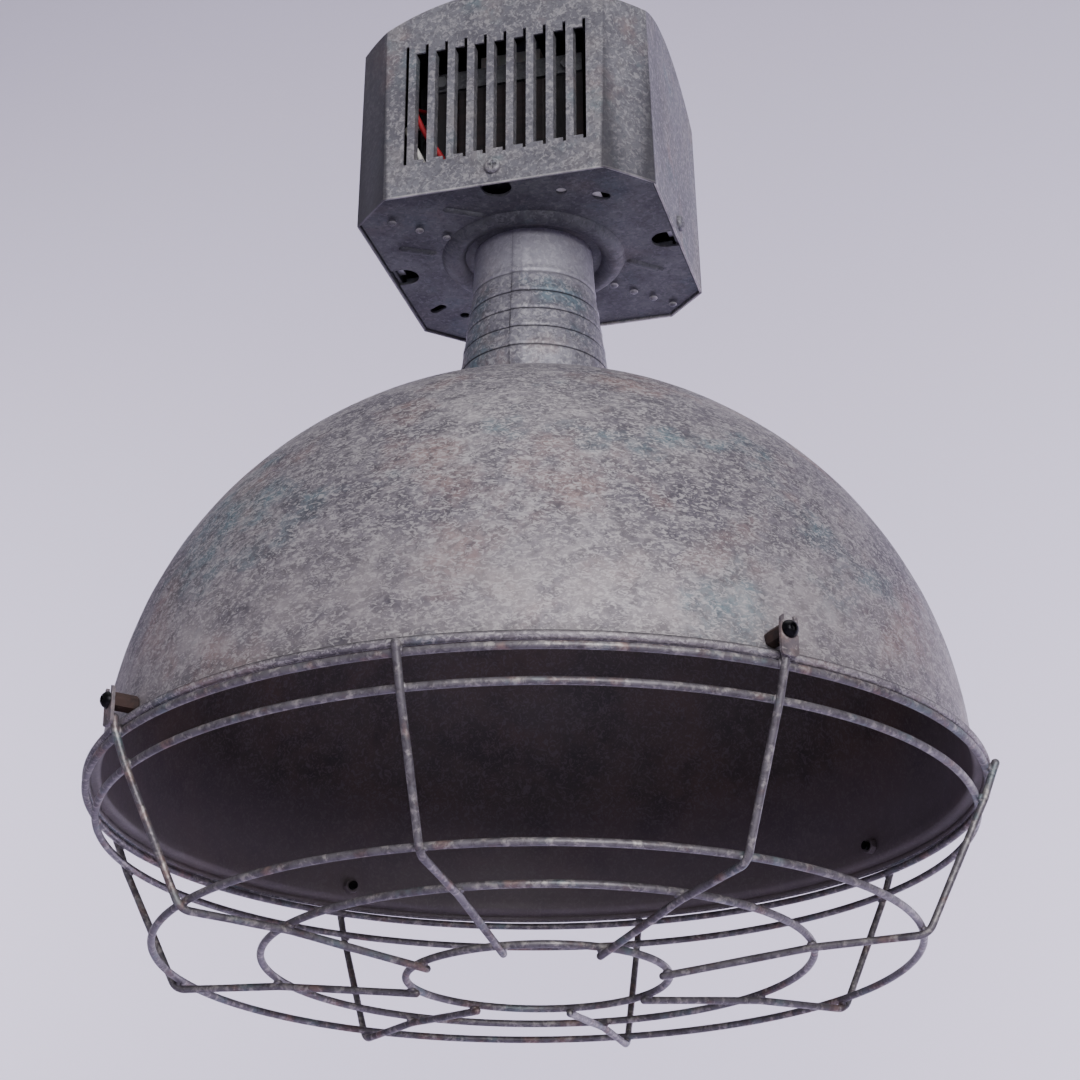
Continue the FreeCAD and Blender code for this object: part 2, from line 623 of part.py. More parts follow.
WHITE_ROUTE = (             # terminal, wider round the ballast's left end, down the front, into the neck
    (0, -33, 435), (0, -12, 435), (-26, -4, 437), (-52, -7, 434), (-57, -26, 420), (-58, -50, 404),
    (-58, -68, 392), (-52, -78, 377), (-45, -78.3, 362), (-40, -78.5, 350), (-37, -77, 339.2),
    (-32, -60, 339.2), (-27, -38, 340), (-17, -21, 341.5), (-15, -17.5, 335), (-15, -17.5, 326),
)


def ballast_core():
    """Laminated iron core with two windows for the coil."""
    core = box((-CORE_HALF, CORE_HALF), CORE_Y, CORE_Z)
    for side in (-1, 1):
        x_range = sorted((side * YOKE, side * (CORE_HALF - YOKE)))
        core = core.cut(box(x_range, CORE_Y, (CORE_Z[0] + YOKE, CORE_Z[1] - YOKE)))
    for x, z in ballast_bolt_places():
        core = core.cut(rod(Vector(x, CORE_Y[0], z), Vector(x, CORE_Y[1], z), 2.3))
    return core


def ballast_coil():
    """Wound coil round the core's middle leg, with rounded ends."""
    outer = box((0.5 - CORE_HALF + YOKE, CORE_HALF - YOKE - 0.5), (CORE_Y[0] - 9, CORE_Y[1] + 9),
                (CORE_Z[0] + YOKE + 1, CORE_Z[1] - YOKE - 1))
    upright = [edge for edge in outer.Edges if edge.BoundBox.ZLength > 20]
    inner = box((-YOKE - 0.5, YOKE + 0.5), (CORE_Y[0] - 0.5, CORE_Y[1] + 0.5), CORE_Z)
    return outer.makeFillet(6, upright).cut(inner)


def ballast_bolt_places():
    """Sideways place and height of each bolt through the core's corners."""
    return [(side * 38.0, height) for side in (-1, 1) for height in (CORE_Z[0] + 5, CORE_Z[1] - 5)]


def ballast_clamps():
    """Angle bars along the core's four long edges; the lower pair are its feet."""
    bars = []
    for face, outward in ((CORE_Y[0], -1), (CORE_Y[1], 1)):
        wall = sorted((face, face + outward * CLAMP))
        lid = sorted((face + outward * CLAMP, face - outward * CLAMP_LEG))
        foot = sorted((face, face + outward * (CLAMP_LEG + CLAMP)))
        top = box((-CORE_HALF, CORE_HALF), wall, (CORE_Z[1] - 10, CORE_Z[1])).fuse(
            box((-CORE_HALF, CORE_HALF), lid, (CORE_Z[1], CORE_Z[1] + CLAMP)))
        low = box((-CORE_HALF, CORE_HALF), wall, (CORE_Z[0] - CLAMP, CORE_Z[0] + 10)).fuse(
            box((-FOOT_X - 5, FOOT_X + 5), foot, (CORE_Z[0] - CLAMP, CORE_Z[0])))
        for x, z in ballast_bolt_places():
            hole = rod(Vector(x, face - 3, z), Vector(x, face + 3, z), 2.3)
            top = top.cut(hole)
            low = low.cut(hole)
        for x, y in foot_places():
            low = low.cut(Part.makeCylinder(2.3, 6, Vector(x, y, CORE_Z[0] - 4)))
        bars += [top.removeSplitter(), low.removeSplitter()]
    return bars


def ballast_bolts():
    """Long bolts through the core's corners, each with a nut behind."""
    grip = CORE_Y[1] - CORE_Y[0] + 2 * CLAMP
    bolt = hexagon(7, 3).fuse(Part.makeCylinder(2.2, grip + 5, up(-grip - 5)))
    nut = hex_nut(7, 3, 2.2)
    pieces = []
    for x, z in ballast_bolt_places():
        pieces.append(placed(bolt, Vector(x, CORE_Y[0] - CLAMP, z), Vector(0, -1, 0)))
        pieces.append(placed(nut, Vector(x, CORE_Y[1] + CLAMP, z), Vector(0, 1, 0)))
    return pieces


def foot_places():
    """Middle of each fixing of the ballast on the plate."""
    inset = CLAMP + CLAMP_LEG / 2
    return [(side * FOOT_X, y) for side in (-1, 1) for y in (CORE_Y[0] - inset, CORE_Y[1] + inset)]


def ballast_spacers():
    """Short tubes that hold the ballast off the plate."""
    height = CORE_Z[0] - CLAMP - PLATE_TOP
    spacer = tube(4.5, 2.4, 0, height)
    return [placed(spacer, Vector(x, y, PLATE_TOP), Z_AXIS) for x, y in foot_places()]


def ballast_fixings():
    """Studs welded on the plate, each with a nut above the ballast's foot."""
    stud = Part.makeCylinder(2.1, CORE_Z[0] + 6 - PLATE_TOP)
    nut = hex_nut(7, 3.2, 2.1)
    pieces = []
    for x, y in foot_places():
        pieces.append(placed(stud, Vector(x, y, PLATE_TOP), Z_AXIS))
        pieces.append(placed(nut, Vector(x, y, CORE_Z[0]), Z_AXIS))
    return pieces


def capacitor():
    """Round can with two push-on terminals."""
    can = Part.makeCylinder(CAN_RADIUS, CAN_HEIGHT, CAPACITOR + up(PLATE_TOP))
    rims = [edge for edge in can.Edges if edge.Closed]
    can = can.makeFillet(2, rims)
    top = PLATE_TOP + CAN_HEIGHT
    width = (CAPACITOR.y - TAG_HALF, CAPACITOR.y + TAG_HALF)
    tags = [box((x - 0.4, x + 0.4), width, (top - 1, top + 9)) for x in (CAPACITOR.x - 6, CAPACITOR.x + 6)]
    return can.fuse(tags)


def capacitor_clip():
    """Sheet band round the can, with a foot on the plate."""
    band = tube(CAN_RADIUS + CLIP_SHEET, CAN_RADIUS + 0.05, 0, 10)
    band = band.cut(box((-2, 2), (-25, 0), (0, 10)))
    band.translate(CAPACITOR + up(PLATE_TOP + 20))
    left = CAPACITOR.x + CAN_RADIUS + CLIP_SHEET / 2
    width = (CAPACITOR.y - 5, CAPACITOR.y + 5)
    leg = box((left, left + CLIP_SHEET), width, (PLATE_TOP, PLATE_TOP + 30))
    foot = box((left, left + 12), width, (PLATE_TOP, PLATE_TOP + CLIP_SHEET))
    return band.fuse([leg, foot])


def igniter():
    """Potted box that starts the lamp, with three wire studs on top."""
    case = box(IGNITER_X, IGNITER_Y, IGNITER_Z)
    upright = [edge for edge in case.Edges if edge.BoundBox.ZLength > 20]
    case = case.makeFillet(3, upright)
    middle = sum(IGNITER_Y) / 2
    studs = [Part.makeCylinder(2, 8, Vector(x, middle, IGNITER_Z[1] - 1)) for x in STUD_X]
    return case.fuse(studs)


def terminal_block():
    """Three-way terminal block on the ballast's top clamps, with a screw well for each way."""
    base = CORE_Z[1] + CLAMP
    wire_level = base + 5
    block = box((-18, 18), TERMINAL_Y, (base, base + 16))
    for x in TERMINAL_X:
        block = block.cut(Part.makeCylinder(3.2, 10, Vector(x, TERMINAL_MIDDLE, base + TERMINAL_WELL)))
        ends = [Vector(x, y, wire_level) for y in TERMINAL_Y]
        block = block.cut(rod(*ends, 2.2))
    return block


def terminal_screws():
    """One slotted screw in each well of the terminal block."""
    screw = Part.makeCylinder(3.0, 5).cut(box((-3.5, 3.5), (-0.5, 0.5), (3.5, 5)))
    level = CORE_Z[1] + CLAMP + TERMINAL_WELL
    return [placed(screw, Vector(x, TERMINAL_MIDDLE, level), Z_AXIS) for x in TERMINAL_X]


def lead(route):
    """Insulated lead through its route, each bend as large as its shorter run allows."""
    points = [Vector(*point) for point in route]
    radii = []
    for before, corner, after in zip(points, points[1:], points[2:]):
        half = (before - corner).getAngle(after - corner) / 2
        shorter = min((before - corner).Length, (after - corner).Length)
        radii.append(0.45 * shorter * math.tan(half))
    return swept(points, radii, WIRE_RADIUS)


# --- lampholder and lamp ---

HOLDER_TOP = 326.0
HOLDER_RADIUS = 29.0
HOLDER_WELL = 306.0
HOLDER_ROUND = 2.5          # rounding of the porcelain's edges
HOLDER_SCREW = 2.0
HOLDER_SCREW_X = 14.0
PIN_HOLE = 4.0
CONTACT_RADIUS = 6.0
CONTACT_SHEET = 1.4
SHELL_INSIDE = LAMP_CAP + 0.4
BRACKET_LEVEL = HOLDER_TOP + 2
LAMP_TOP = 302.0            # top of the screw cap
CAP_FOOT = 264.0
GLASS_WALL = 1.0
THROAT = 15.5               # radius of the glass's drawn-in neck
THROAT_SPAN = (238.0, 258.0, 272.0)   # where the neck starts, is fully drawn in, and ends
PINCH = 2.5                 # radius of the arc tube's pinched ends
ARC_RADIUS = 7.0
ARC_SHOULDERS = (26.0, 18.0)          # heights of each pinch and each shoulder from the middle
ARC_MIDDLE = 190.0
ARC_HALF = 36.0


def lampholder_body():
    """Porcelain body with a well for the screw shell."""
    body = Part.makeCylinder(HOLDER_RADIUS, HOLDER_TOP - SOCKET_MOUTH, up(SOCKET_MOUTH))
    body = body.makeFillet(HOLDER_ROUND, [edge for edge in body.Edges if edge.Closed])
    body = body.cut(Part.makeCylinder(SHELL_INSIDE + 1.0, HOLDER_WELL - SOCKET_MOUTH, up(SOCKET_MOUTH)))
    body = body.cut(Part.makeCylinder(PIN_HOLE, 30, up(HOLDER_WELL - 5)))
    for side in (-1, 1):
        start = Vector(side * HOLDER_SCREW_X, 0, HOLDER_TOP - 10)
        body = body.cut(Part.makeCylinder(HOLDER_SCREW, 12, start))
    return body


def lampholder_shell():
    """Brass sleeve in the well that takes the lamp's screw cap."""
    return tube(SHELL_INSIDE + 0.9, SHELL_INSIDE, SOCKET_MOUTH + 2, HOLDER_WELL - 1)


def lampholder_contact():
    """Brass disc at the top of the well, with its pin up through the body."""
    foot = up(HOLDER_WELL - CONTACT_SHEET)
    disc = Part.makeCylinder(CONTACT_RADIUS, CONTACT_SHEET, foot)
    return disc.fuse(Part.makeCylinder(PIN_HOLE - 0.1, 14, foot))


def lampholder_bracket():
    """Hat-shaped strap that hangs the holder from the neck's flange."""
    brim, rise, crown, half, sheet = 45, 30, 22, 9, 2
    low = PLATE_TOP + SHEET
    outer = [(-brim, low), (-brim, low + sheet), (-rise, low + sheet), (-crown, BRACKET_LEVEL),
             (crown, BRACKET_LEVEL), (rise, low + sheet), (brim, low + sheet), (brim, low),
             (rise + 1, low), (crown + 1, BRACKET_LEVEL - sheet), (-crown - 1, BRACKET_LEVEL - sheet),
             (-rise - 1, low)]
    outline = [Vector(x, -half, z) for x, z in outer]
    strap = Part.Face(Part.makePolygon(outline + outline[:1])).extrude(Vector(0, 2 * half, 0))
    strap = strap.cut(Part.makeCylinder(PIN_HOLE + 1, 10, up(BRACKET_LEVEL - 5)))
    for side in (-1, 1):
        hole = Part.makeCylinder(HOLDER_SCREW + 0.1, 10, Vector(side * HOLDER_SCREW_X, 0, BRACKET_LEVEL - 5))
        strap = strap.cut(hole)
    return strap


def lampholder_screws():
    """Two screws from the bracket into the porcelain."""
    screw = pan_screw(HOLDER_SCREW, 11, 3.6, 2.4)
    return [placed(screw, Vector(side * HOLDER_SCREW_X, 0, BRACKET_LEVEL), Z_AXIS) for side in (-1, 1)]


def lamp_outline(shrink):
    """Half outline of the lamp's glass: round tip, straight wall, drawn-in neck, flat top."""
    radius, throat = LAMP_RADIUS - shrink, THROAT - shrink
    centre = LAMP_TIP + LAMP_RADIUS
    diagonal = radius / math.sqrt(2)
    wall_end, neck_start, neck_end = THROAT_SPAN
    corners = [(radius, centre), (radius, wall_end), (throat, neck_start), (throat, neck_end),
               (0, neck_end), (0, centre - radius)]
    points = [Vector(x, 0, z) for x, z in corners]
    tip = Part.Arc(points[-1], Vector(diagonal, 0, centre - diagonal), points[0]).toShape()
    return Part.Wire([tip] + [Part.LineSegment(*pair).toShape() for pair in zip(points, points[1:])])


def lamp_glass():
    """Thin tubular envelope with a round end and a drawn-in neck."""
    faces = [Part.Face(lamp_outline(shrink)) for shrink in (0, GLASS_WALL)]
    outer, inner = [face.revolve(ORIGIN, Z_AXIS, 360) for face in faces]
    return outer.cut(inner)


def lamp_cap():
    """Screw cap closed by an insulating cone at its top."""
    return spun([(15.6, CAP_FOOT), (LAMP_CAP - 1.5, CAP_FOOT), (LAMP_CAP, CAP_FOOT + 6),
                 (LAMP_CAP, LAMP_TOP - 6), (9, LAMP_TOP), (0, LAMP_TOP), (0, LAMP_TOP - 2),
                 (8, LAMP_TOP - 2), (LAMP_CAP - 2, LAMP_TOP - 8), (LAMP_CAP - 2, CAP_FOOT + 9),
                 (15.6, CAP_FOOT + 8)])


def arc_tube():
    """Sealed quartz tube that makes the light, with pinched ends."""
    pinch, shoulder = ARC_SHOULDERS
    half = [(PINCH, ARC_HALF), (PINCH, pinch), (ARC_RADIUS, shoulder)]
    upper = [(radius, ARC_MIDDLE + height) for radius, height in half]
    lower = [(radius, ARC_MIDDLE - height) for radius, height in reversed(half)]
    return spun([(0, ARC_MIDDLE + ARC_HALF)] + upper + lower + [(0, ARC_MIDDLE - ARC_HALF)])


def arc_tube_frame():
    """Wire frame that carries the arc tube from the lamp's neck."""
    side, top = 13.0, 267.0
    seat = ARC_MIDDLE - ARC_HALF
    low = seat - 3
    loop = swept([Vector(0, 0, low), Vector(side, 0, low), Vector(side, 0, top)], [4.0], 0.8)
    pin = rod(Vector(0, 0, low - 0.6), Vector(0, 0, seat), 1.2)
    lead_in = rod(Vector(0, 0, ARC_MIDDLE + ARC_HALF), Vector(0, 0, top), 1.0)
    bridge = rod(Vector(-11, 0, top - 1), Vector(side, 0, top - 1), 1.0)
    return loop.fuse([pin, lead_in, bridge])


# --- guard ---

REACH = 2 * WIRE - WELD     # from one welded wire's centre to the next
TAB_SHEET = 1.8
TAB_HALF = 4.7
TAB_SPAN = (-3.0, 17.0)
PLAY = 0.3                  # between the tab and what clamps it
RIB_TIP_RADIUS = 242.9
PLAIN_TIP = -2.2            # height of a plain rib's tip
TAB_TIP = 1.5               # height of the tip of a rib with a tab
RIB_CORNER = (202.6, -88.6)
RIB_BENDS = (18.0, 40.0, 9.0, 60.0)


def beside(ring, angle, extra=0.0):
    """Point one weld distance from a ring's wire, at an angle above the outward direction."""
    radius, height = RINGS[ring]
    turn = math.radians(angle)
    return radius + REACH * math.cos(turn) - extra, height + REACH * math.sin(turn)


def guard_ring(name):
    """One ring of wire, closed on itself."""
    radius, height = RINGS[name]
    return Part.makeTorus(radius, WIRE, up(height))


def guard_rib(tip):
    """Bent wire down the outside of the rings and in under them, with a rounded tip."""
    outline = [(RIB_TIP_RADIUS, tip), beside("top", 0), beside("upper", -20), RIB_CORNER,
               beside("middle", -90), beside("center", -90, 2.5)]
    points = [Vector(0, -radius, height) for radius, height in outline]
    return swept(points, RIB_BENDS, WIRE).fuse(Part.makeSphere(WIRE, points[0]))


def tab_face():
    """Radius of the tab's inner face."""
    return RIB_TIP_RADIUS + WIRE - WELD


def guard_tabs():
    """Flat tabs on the diagonal ribs, each with a slot that is open at the top."""
    inner = tab_face()
    tab = box((-TAB_HALF, TAB_HALF), (-inner - TAB_SHEET, -inner), TAB_SPAN)
    corners = [edge for edge in tab.Edges if edge.BoundBox.XLength < 1e-6 and edge.BoundBox.ZLength < 1e-6]
    tab = tab.makeFillet(2.2, corners)
    half = SCREW_SHANK + PLAY
    slot = box((-half, half), (-inner - 5, -inner + 5), (SCREW_HEIGHT, TAB_SPAN[1] + 1))
    end = rod(Vector(0, -inner - 5, SCREW_HEIGHT), Vector(0, -inner + 5, SCREW_HEIGHT), half)
    tab = tab.cut(slot.fuse(end))
    return [turned(tab, angle) for angle in TAB_ANGLES]


def guard_screws():
    """Button-head screws through the tabs' slots into the reflector."""
    head_seat = tab_face() + TAB_SHEET + PLAY
    screw = button_screw(SCREW_SHANK, head_seat - SHELL_RADIUS + 8, 4.4, 3.6, 3.0)
    return [placed(screw, on_circle(angle, head_seat, SCREW_HEIGHT), on_circle(angle, 1, 0))
            for angle in TAB_ANGLES]


def guard_spacers():
    """Long nuts between the reflector's wall and the tabs."""
    outer = tab_face() - PLAY
    length = outer - SHELL_RADIUS - 0.02
    spacer = hex_nut(8, length, SCREW_SHANK)
    return [placed(spacer, on_circle(angle, outer, SCREW_HEIGHT), on_circle(angle, -1, 0))
            for angle in TAB_ANGLES]


def guard_nuts():
    """Nuts on the screws' ends inside the reflector."""
    nut = hex_nut(8, 4, SCREW_SHANK)
    seat = SHELL_RADIUS - SHEET - 0.45
    return [placed(nut, on_circle(angle, seat, SCREW_HEIGHT), on_circle(angle, -1, 0))
            for angle in TAB_ANGLES]


# --- the whole lamp ---

def save_suspension():
    """Write the eye, stem, strap and cable gland."""
    save("hanger_eye", hanger_eye())
    save("hanger_stem", hanger_stem())
    save("hanger_nuts", *hanger_nuts())
    save("hanger_washer", tube(16, STEM + 0.1, ROOF_CROWN, EYE_BASE - 9.5))
    save("stem_spacer", tube(12, STEM + 0.1, STRAP_TOP, ROOF_CROWN - SHEET - 0.6))
    save("carrier_strap", carrier_strap())
    seat, outward = gland_seat()
    names = ("cable_gland", "gland_lock_nut", "gland_cap", "gland_seal")
    for name, shape in zip(names, cable_gland()):
        save(name, placed(Part.makeCompound(shape.Solids), seat, outward))


def save_gear_box():
    """Write the cover, the base plate and their fixings."""
    save("gear_cover", gear_cover())
    save("base_plate", base_plate())
    save("plate_rivets", *plate_rivets())
    save("cover_screws", *cover_screws())
    save("cover_nuts", *cover_nuts())


def save_control_gear():
    """Write what stands inside the gear box, and the leads."""
    save("ballast_core", ballast_core())
    save("ballast_coil", ballast_coil())
    save("ballast_clamps", *ballast_clamps())
    save("ballast_bolts", *ballast_bolts())
    save("ballast_spacers", *ballast_spacers())
    save("ballast_fixings", *ballast_fixings())
    save("capacitor", capacitor())
    save("capacitor_clip", capacitor_clip())
    save("igniter", igniter())
    save("terminal_block", terminal_block())
    save("terminal_screws", *terminal_screws())
    save("wire_red", lead(RED_ROUTE))
    save("wire_white", lead(WHITE_ROUTE))


def save_reflector():
    """Write the neck, the dome and their bolts."""
    save("neck_sleeve", neck_sleeve())
    save("neck_ring", neck_ring())
    save("reflector_dome", reflector_dome())
    save("reflector_bolts", *reflector_bolts())


def save_lamp():
    """Write the lampholder and the lamp that screws into it."""
    save("lampholder_bracket", lampholder_bracket())
    save("lampholder_body", lampholder_body())
    save("lampholder_shell", lampholder_shell())
    save("lampholder_contact", lampholder_contact())
    save("lampholder_screws", *lampholder_screws())
    save("lamp_glass", lamp_glass())
    save("lamp_cap", lamp_cap())
    save("lamp_contact", Part.makeCylinder(5, 2.2, up(LAMP_TOP)))
    save("arc_tube", arc_tube())
    save("arc_tube_frame", arc_tube_frame())


def save_guard():
    """Write the wire guard and what fixes it to the dome."""
    for name in RINGS:
        save("guard_ring_" + name, guard_ring(name))
    plain, tabbed = guard_rib(PLAIN_TIP), guard_rib(TAB_TIP)
    for index, angle in enumerate(RIB_ANGLES):
        rib = tabbed if angle in TAB_ANGLES else plain
        save("guard_rib_" + str(index + 1), turned(rib, angle))
    save("guard_tabs", *guard_tabs())
    save("guard_screws", *guard_screws())
    save("guard_spacers", *guard_spacers())
    save("guard_nuts", *guard_nuts())


def main():
    """Write every node of the lamp."""
    os.makedirs("parts", exist_ok=True)
    save_suspension()
    save_gear_box()
    save_control_gear()
    save_reflector()
    save_lamp()
    save_guard()


main()
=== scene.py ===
import bpy
import numpy as np
from bpy.props import FloatProperty, FloatVectorProperty, IntProperty, PointerProperty
from mathutils import Matrix, Vector


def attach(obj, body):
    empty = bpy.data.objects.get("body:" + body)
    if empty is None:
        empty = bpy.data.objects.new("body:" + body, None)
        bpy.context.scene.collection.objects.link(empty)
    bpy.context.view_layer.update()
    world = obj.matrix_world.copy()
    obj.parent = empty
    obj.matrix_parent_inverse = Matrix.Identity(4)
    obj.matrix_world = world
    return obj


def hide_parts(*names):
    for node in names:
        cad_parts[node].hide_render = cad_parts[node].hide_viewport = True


bl_info = {
    "name": "Caged pendant lamp",
    "version": (1, 0, 0),
    "blender": (4, 5, 0),
    "location": "3D View > Sidebar > Pendant lamp",
    "description": "Adds the finish and the fine shapes of a caged pendant lamp to its packed part",
    "category": "Add Mesh",
}

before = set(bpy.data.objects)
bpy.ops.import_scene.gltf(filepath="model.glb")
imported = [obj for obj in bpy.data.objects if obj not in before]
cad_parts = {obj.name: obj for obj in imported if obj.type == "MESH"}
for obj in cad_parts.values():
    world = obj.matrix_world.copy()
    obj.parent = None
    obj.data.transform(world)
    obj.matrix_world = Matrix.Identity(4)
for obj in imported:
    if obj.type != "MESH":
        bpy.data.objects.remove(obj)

# --- the lamp's sizes, in mm; heights are above the reflector's rim ---

RIM_DROP = 530.0            # from the hanging hole down to the rim
RIM = 240.0                 # outside of the rolled bead
SHELL = 231.4               # outside of the spun hemisphere
SHELL_CENTRE = 2.2
SHEET = 1.2                 # spun and folded sheet
NECK_HOLE = 40.4            # in the crown of the hemisphere
NECK_FOOT = 41.3
PLATE_TOP = 336.0           # top of the gear box's base plate
BOX_BOTTOM = 333.0
BOX_HALF = 87.9             # half the gear box's width, at its bottom edge
BOX_LEAN = 2.6 / 115        # how far its walls lean in for each mm of height
GROOVES = (305.1, 291.7, 279.2, 266.9, 254.2)   # round the neck
WIRE_REACH = 3.7            # between the middles of two welded wires
# Radius and height of each ring of the guard.
RINGS = {"top": (238.0, -4.7), "upper": (232.0, -19.6), "shoulder": (199.5, -84.0),
         "middle": (143.7, -87.2), "center": (68.7, -96.4)}
# Where a rib is welded to a ring, in degrees above the outward direction.
WELDS = (("top", 0), ("upper", -20), ("middle", -90), ("center", -90))
RIB_TIP_RADIUS = 242.9
PLAIN_TIP, TAB_TIP = -2.2, 1.5      # a rib ends higher where it carries a tab
RIB_CORNER = (202.6, -88.6)
RIB_BENDS = (18.0, 40.0, 9.0, 60.0)
TAB_FACE = 244.6            # inner face of the guard's tabs
TAB_SHEET = 1.8
PLAY = 0.3
GUARD_SCREW_HEIGHT = 10.0
COVER_SCREW_HEIGHT = 344.0
HANGER_NUT_HEIGHTS = (472.0, 494.5)
CROWN_BOLT_CIRCLE = 54.0    # its radius
M5 = 2.5                    # radius of an M5 screw
M5_NUT = (8, 4, M5)         # across its flats, height, bore
MM = 1000.0                 # in a metre, the unit of settings and meshes
RIB_ANGLES = (0, 43, 90, 137, 180, 225, 270, 317)
TAB_ANGLES = RIB_ANGLES[1::2]
QUARTER_TURNS = (0, 90, 180, 270)
DIAGONALS = (45, 135, 225, 315)


# --- shapes, in mm until a piece is built ---

def angles(count):
    """Evenly spaced angles round one turn."""
    return np.linspace(0, 2 * np.pi, count, endpoint=False)


def spread(outline, columns):
    """Radius and height arrays, one column for each angle, of an outline that is the same all round."""
    outline = np.asarray(outline, float)
    return outline[:, :1] + np.zeros(columns), outline[:, 1:] + np.zeros(columns)


def shaped(radius, height):
    """Turns arrays of radius and height about the lamp's axis: x = r sin t, y = -r cos t, z = h."""
    turn = angles(radius.shape[1])
    height = np.broadcast_to(height, radius.shape)
    return np.stack([radius * np.sin(turn), -radius * np.cos(turn), height], axis=-1)


def arc(radius, tilt, centre):
    """Points of a circle's arc as (radius, height), at each tilt above the level."""
    return np.stack([centre[0] + radius * np.cos(tilt), centre[1] + radius * np.sin(tilt)], axis=1)


def hexagon(half_flats, count):
    """Radius of a hexagon at each angle: half the width across flats over the cosine to the nearest flat."""
    turn = (angles(count) + np.pi / 6) % (np.pi / 3) - np.pi / 6
    return half_flats / np.cos(turn)


def bent(corners, bends, arc_points=14):
    """Centre line of a bent wire: straight runs, and at each corner an arc that touches both runs."""
    corners = [np.array(corner, float) for corner in corners]
    line = [corners[0][None]]
    for before, corner, after, bend in zip(corners, corners[1:], corners[2:], bends):
        back = (before - corner) / np.linalg.norm(before - corner)
        onward = (after - corner) / np.linalg.norm(after - corner)
        half = np.arccos(np.clip(back @ onward, -1, 1)) / 2
        middle = corner + (back + onward) / np.linalg.norm(back + onward) * bend / np.sin(half)
        start, stop = [corner + side * bend / np.tan(half) - middle for side in (back, onward)]
        share = np.linspace(0, 1, arc_points)[:, None]
        swing = np.pi - 2 * half
        line.append(middle + (np.sin((1 - share) * swing) * start + np.sin(share * swing) * stop)
                    / np.sin(swing))
    return np.concatenate(line + [corners[-1][None]])


def evened(line, step):
    """The same line with its points a step apart."""
    lengths = np.concatenate([[0], np.cumsum(np.linalg.norm(np.diff(line, axis=0), axis=1))])
    places = np.linspace(0, lengths[-1], int(lengths[-1] / step) + 2)
    return np.stack([np.interp(places, lengths, line[:, axis]) for axis in range(3)], axis=1)


def wire(line, radius, across, sides=18, looped=False):
    """Round wire: at each point of a flat line, a circle square to it, with domed ends unless it is looped.

    across is the direction square to the line's plane."""
    ahead = np.roll(line, -1, axis=0) - np.roll(line, 1, axis=0)
    if not looped:
        ahead = np.gradient(line, axis=0)
    ahead /= np.linalg.norm(ahead, axis=1, keepdims=True)
    radius = np.broadcast_to(radius, len(line)).astype(float)
    if not looped:
        dome = np.linspace(0.08, np.pi / 2, 6)[:-1]
        first = line[0] - ahead[0] * radius[0] * np.cos(dome)[:, None]
        last = line[-1] + ahead[-1] * radius[-1] * np.cos(dome[::-1])[:, None]
        line = np.concatenate([first, line, last])
        ahead = np.concatenate([np.repeat(ahead[:1], 5, 0), ahead, np.repeat(ahead[-1:], 5, 0)])
        radius = np.concatenate([radius[0] * np.sin(dome), radius, radius[-1] * np.sin(dome[::-1])])
    aside = np.cross(ahead, across)
    turn = angles(sides)[:, None]
    circle = np.cos(turn) * aside[:, None] + np.sin(turn) * np.asarray(across, float)
    return line[:, None] + radius[:, None, None] * circle


def blob(centre, half_sizes, axes, count=14):
    """Ellipsoid of weld metal: centre + three axes, each times its half size and a sphere's coordinate."""
    tilt = np.linspace(0.12, np.pi - 0.12, count)[:, None]
    turn = angles(count + 4)
    ball = np.stack([np.sin(tilt) * np.cos(turn), np.sin(tilt) * np.sin(turn), np.cos(tilt) + 0 * turn], -1)
    return centre + (ball * half_sizes) @ np.asarray(axes, float)


def placed(grid, place, axis):
    """Stands a shape made along +Z at a place, along another axis."""
    turn = np.array(Vector((0, 0, 1)).rotation_difference(Vector(axis)).to_matrix())
    return grid @ turn.T + np.asarray(place, float)


def outward(angle):
    """Direction square to the lamp's axis at an angle from the front, towards +X."""
    turn = np.radians(angle)
    return np.array([np.sin(turn), -np.cos(turn), 0.0])


def turned(grid, angle):
    """Turns points made at the front (-Y) round the axis to an angle."""
    cosine, sine = np.cos(np.radians(angle)), np.sin(np.radians(angle))
    return grid @ np.array([[cosine, sine, 0], [-sine, cosine, 0], [0, 0, 1]])


def button_screw(head, height, shank, length, key):
    """Screw with a ball head: a sphere's cap over a shank, with a hexagon let into its crown."""
    ball = (head ** 2 + height ** 2) / (2 * height)
    columns = 60
    cap = np.linspace(np.arccos(head / ball), np.arccos(key * 0.66 / ball), 12)
    crown = arc(ball, cap, (0, height - ball))
    radius, level = spread([(shank, -length), (shank, 0), (head * 0.97, 0), *crown], columns)
    mouth = crown[-1, 1]
    share, depth = spread([(1.03, mouth - 0.1), (1, mouth - 0.25), (1, height * 0.4), (0.5, height * 0.33)],
                          columns)
    socket = share * hexagon(key / 2, columns)
    return shaped(np.concatenate([radius, socket]), np.concatenate([level, depth]))


def pan_screw(head, height, shank, length):
    """Pan head: height falls as the fourth power of the radius, less a cross-shaped recess with soft walls."""
    columns = 72
    share = np.concatenate([np.linspace(1, 0.9, 5), np.linspace(0.84, 0.03, 26)])[:, None]
    radius = share * head + np.zeros(columns)
    x, y = radius * np.sin(angles(columns)), radius * np.cos(angles(columns))
    arm, half = head * 0.56, head * 0.12
    wall = head * 0.035
    bars = [1 / (1 + np.exp((np.abs(side) - half) / wall)) / (1 + np.exp((np.abs(along) - arm) / wall))
            for along, side in ((x, y), (y, x))]
    recess = np.clip(np.maximum(*bars), 0, 1) * (1 - 0.25 * radius / arm)
    top = height * (0.3 + 0.7 * (1 - share ** 4) ** 0.5) - height * 0.6 * recess
    low_radius, low_level = spread([(shank, -length), (shank, 0), (head * 0.98, 0)], columns)
    return shaped(np.concatenate([low_radius, radius]), np.concatenate([low_level, top]))


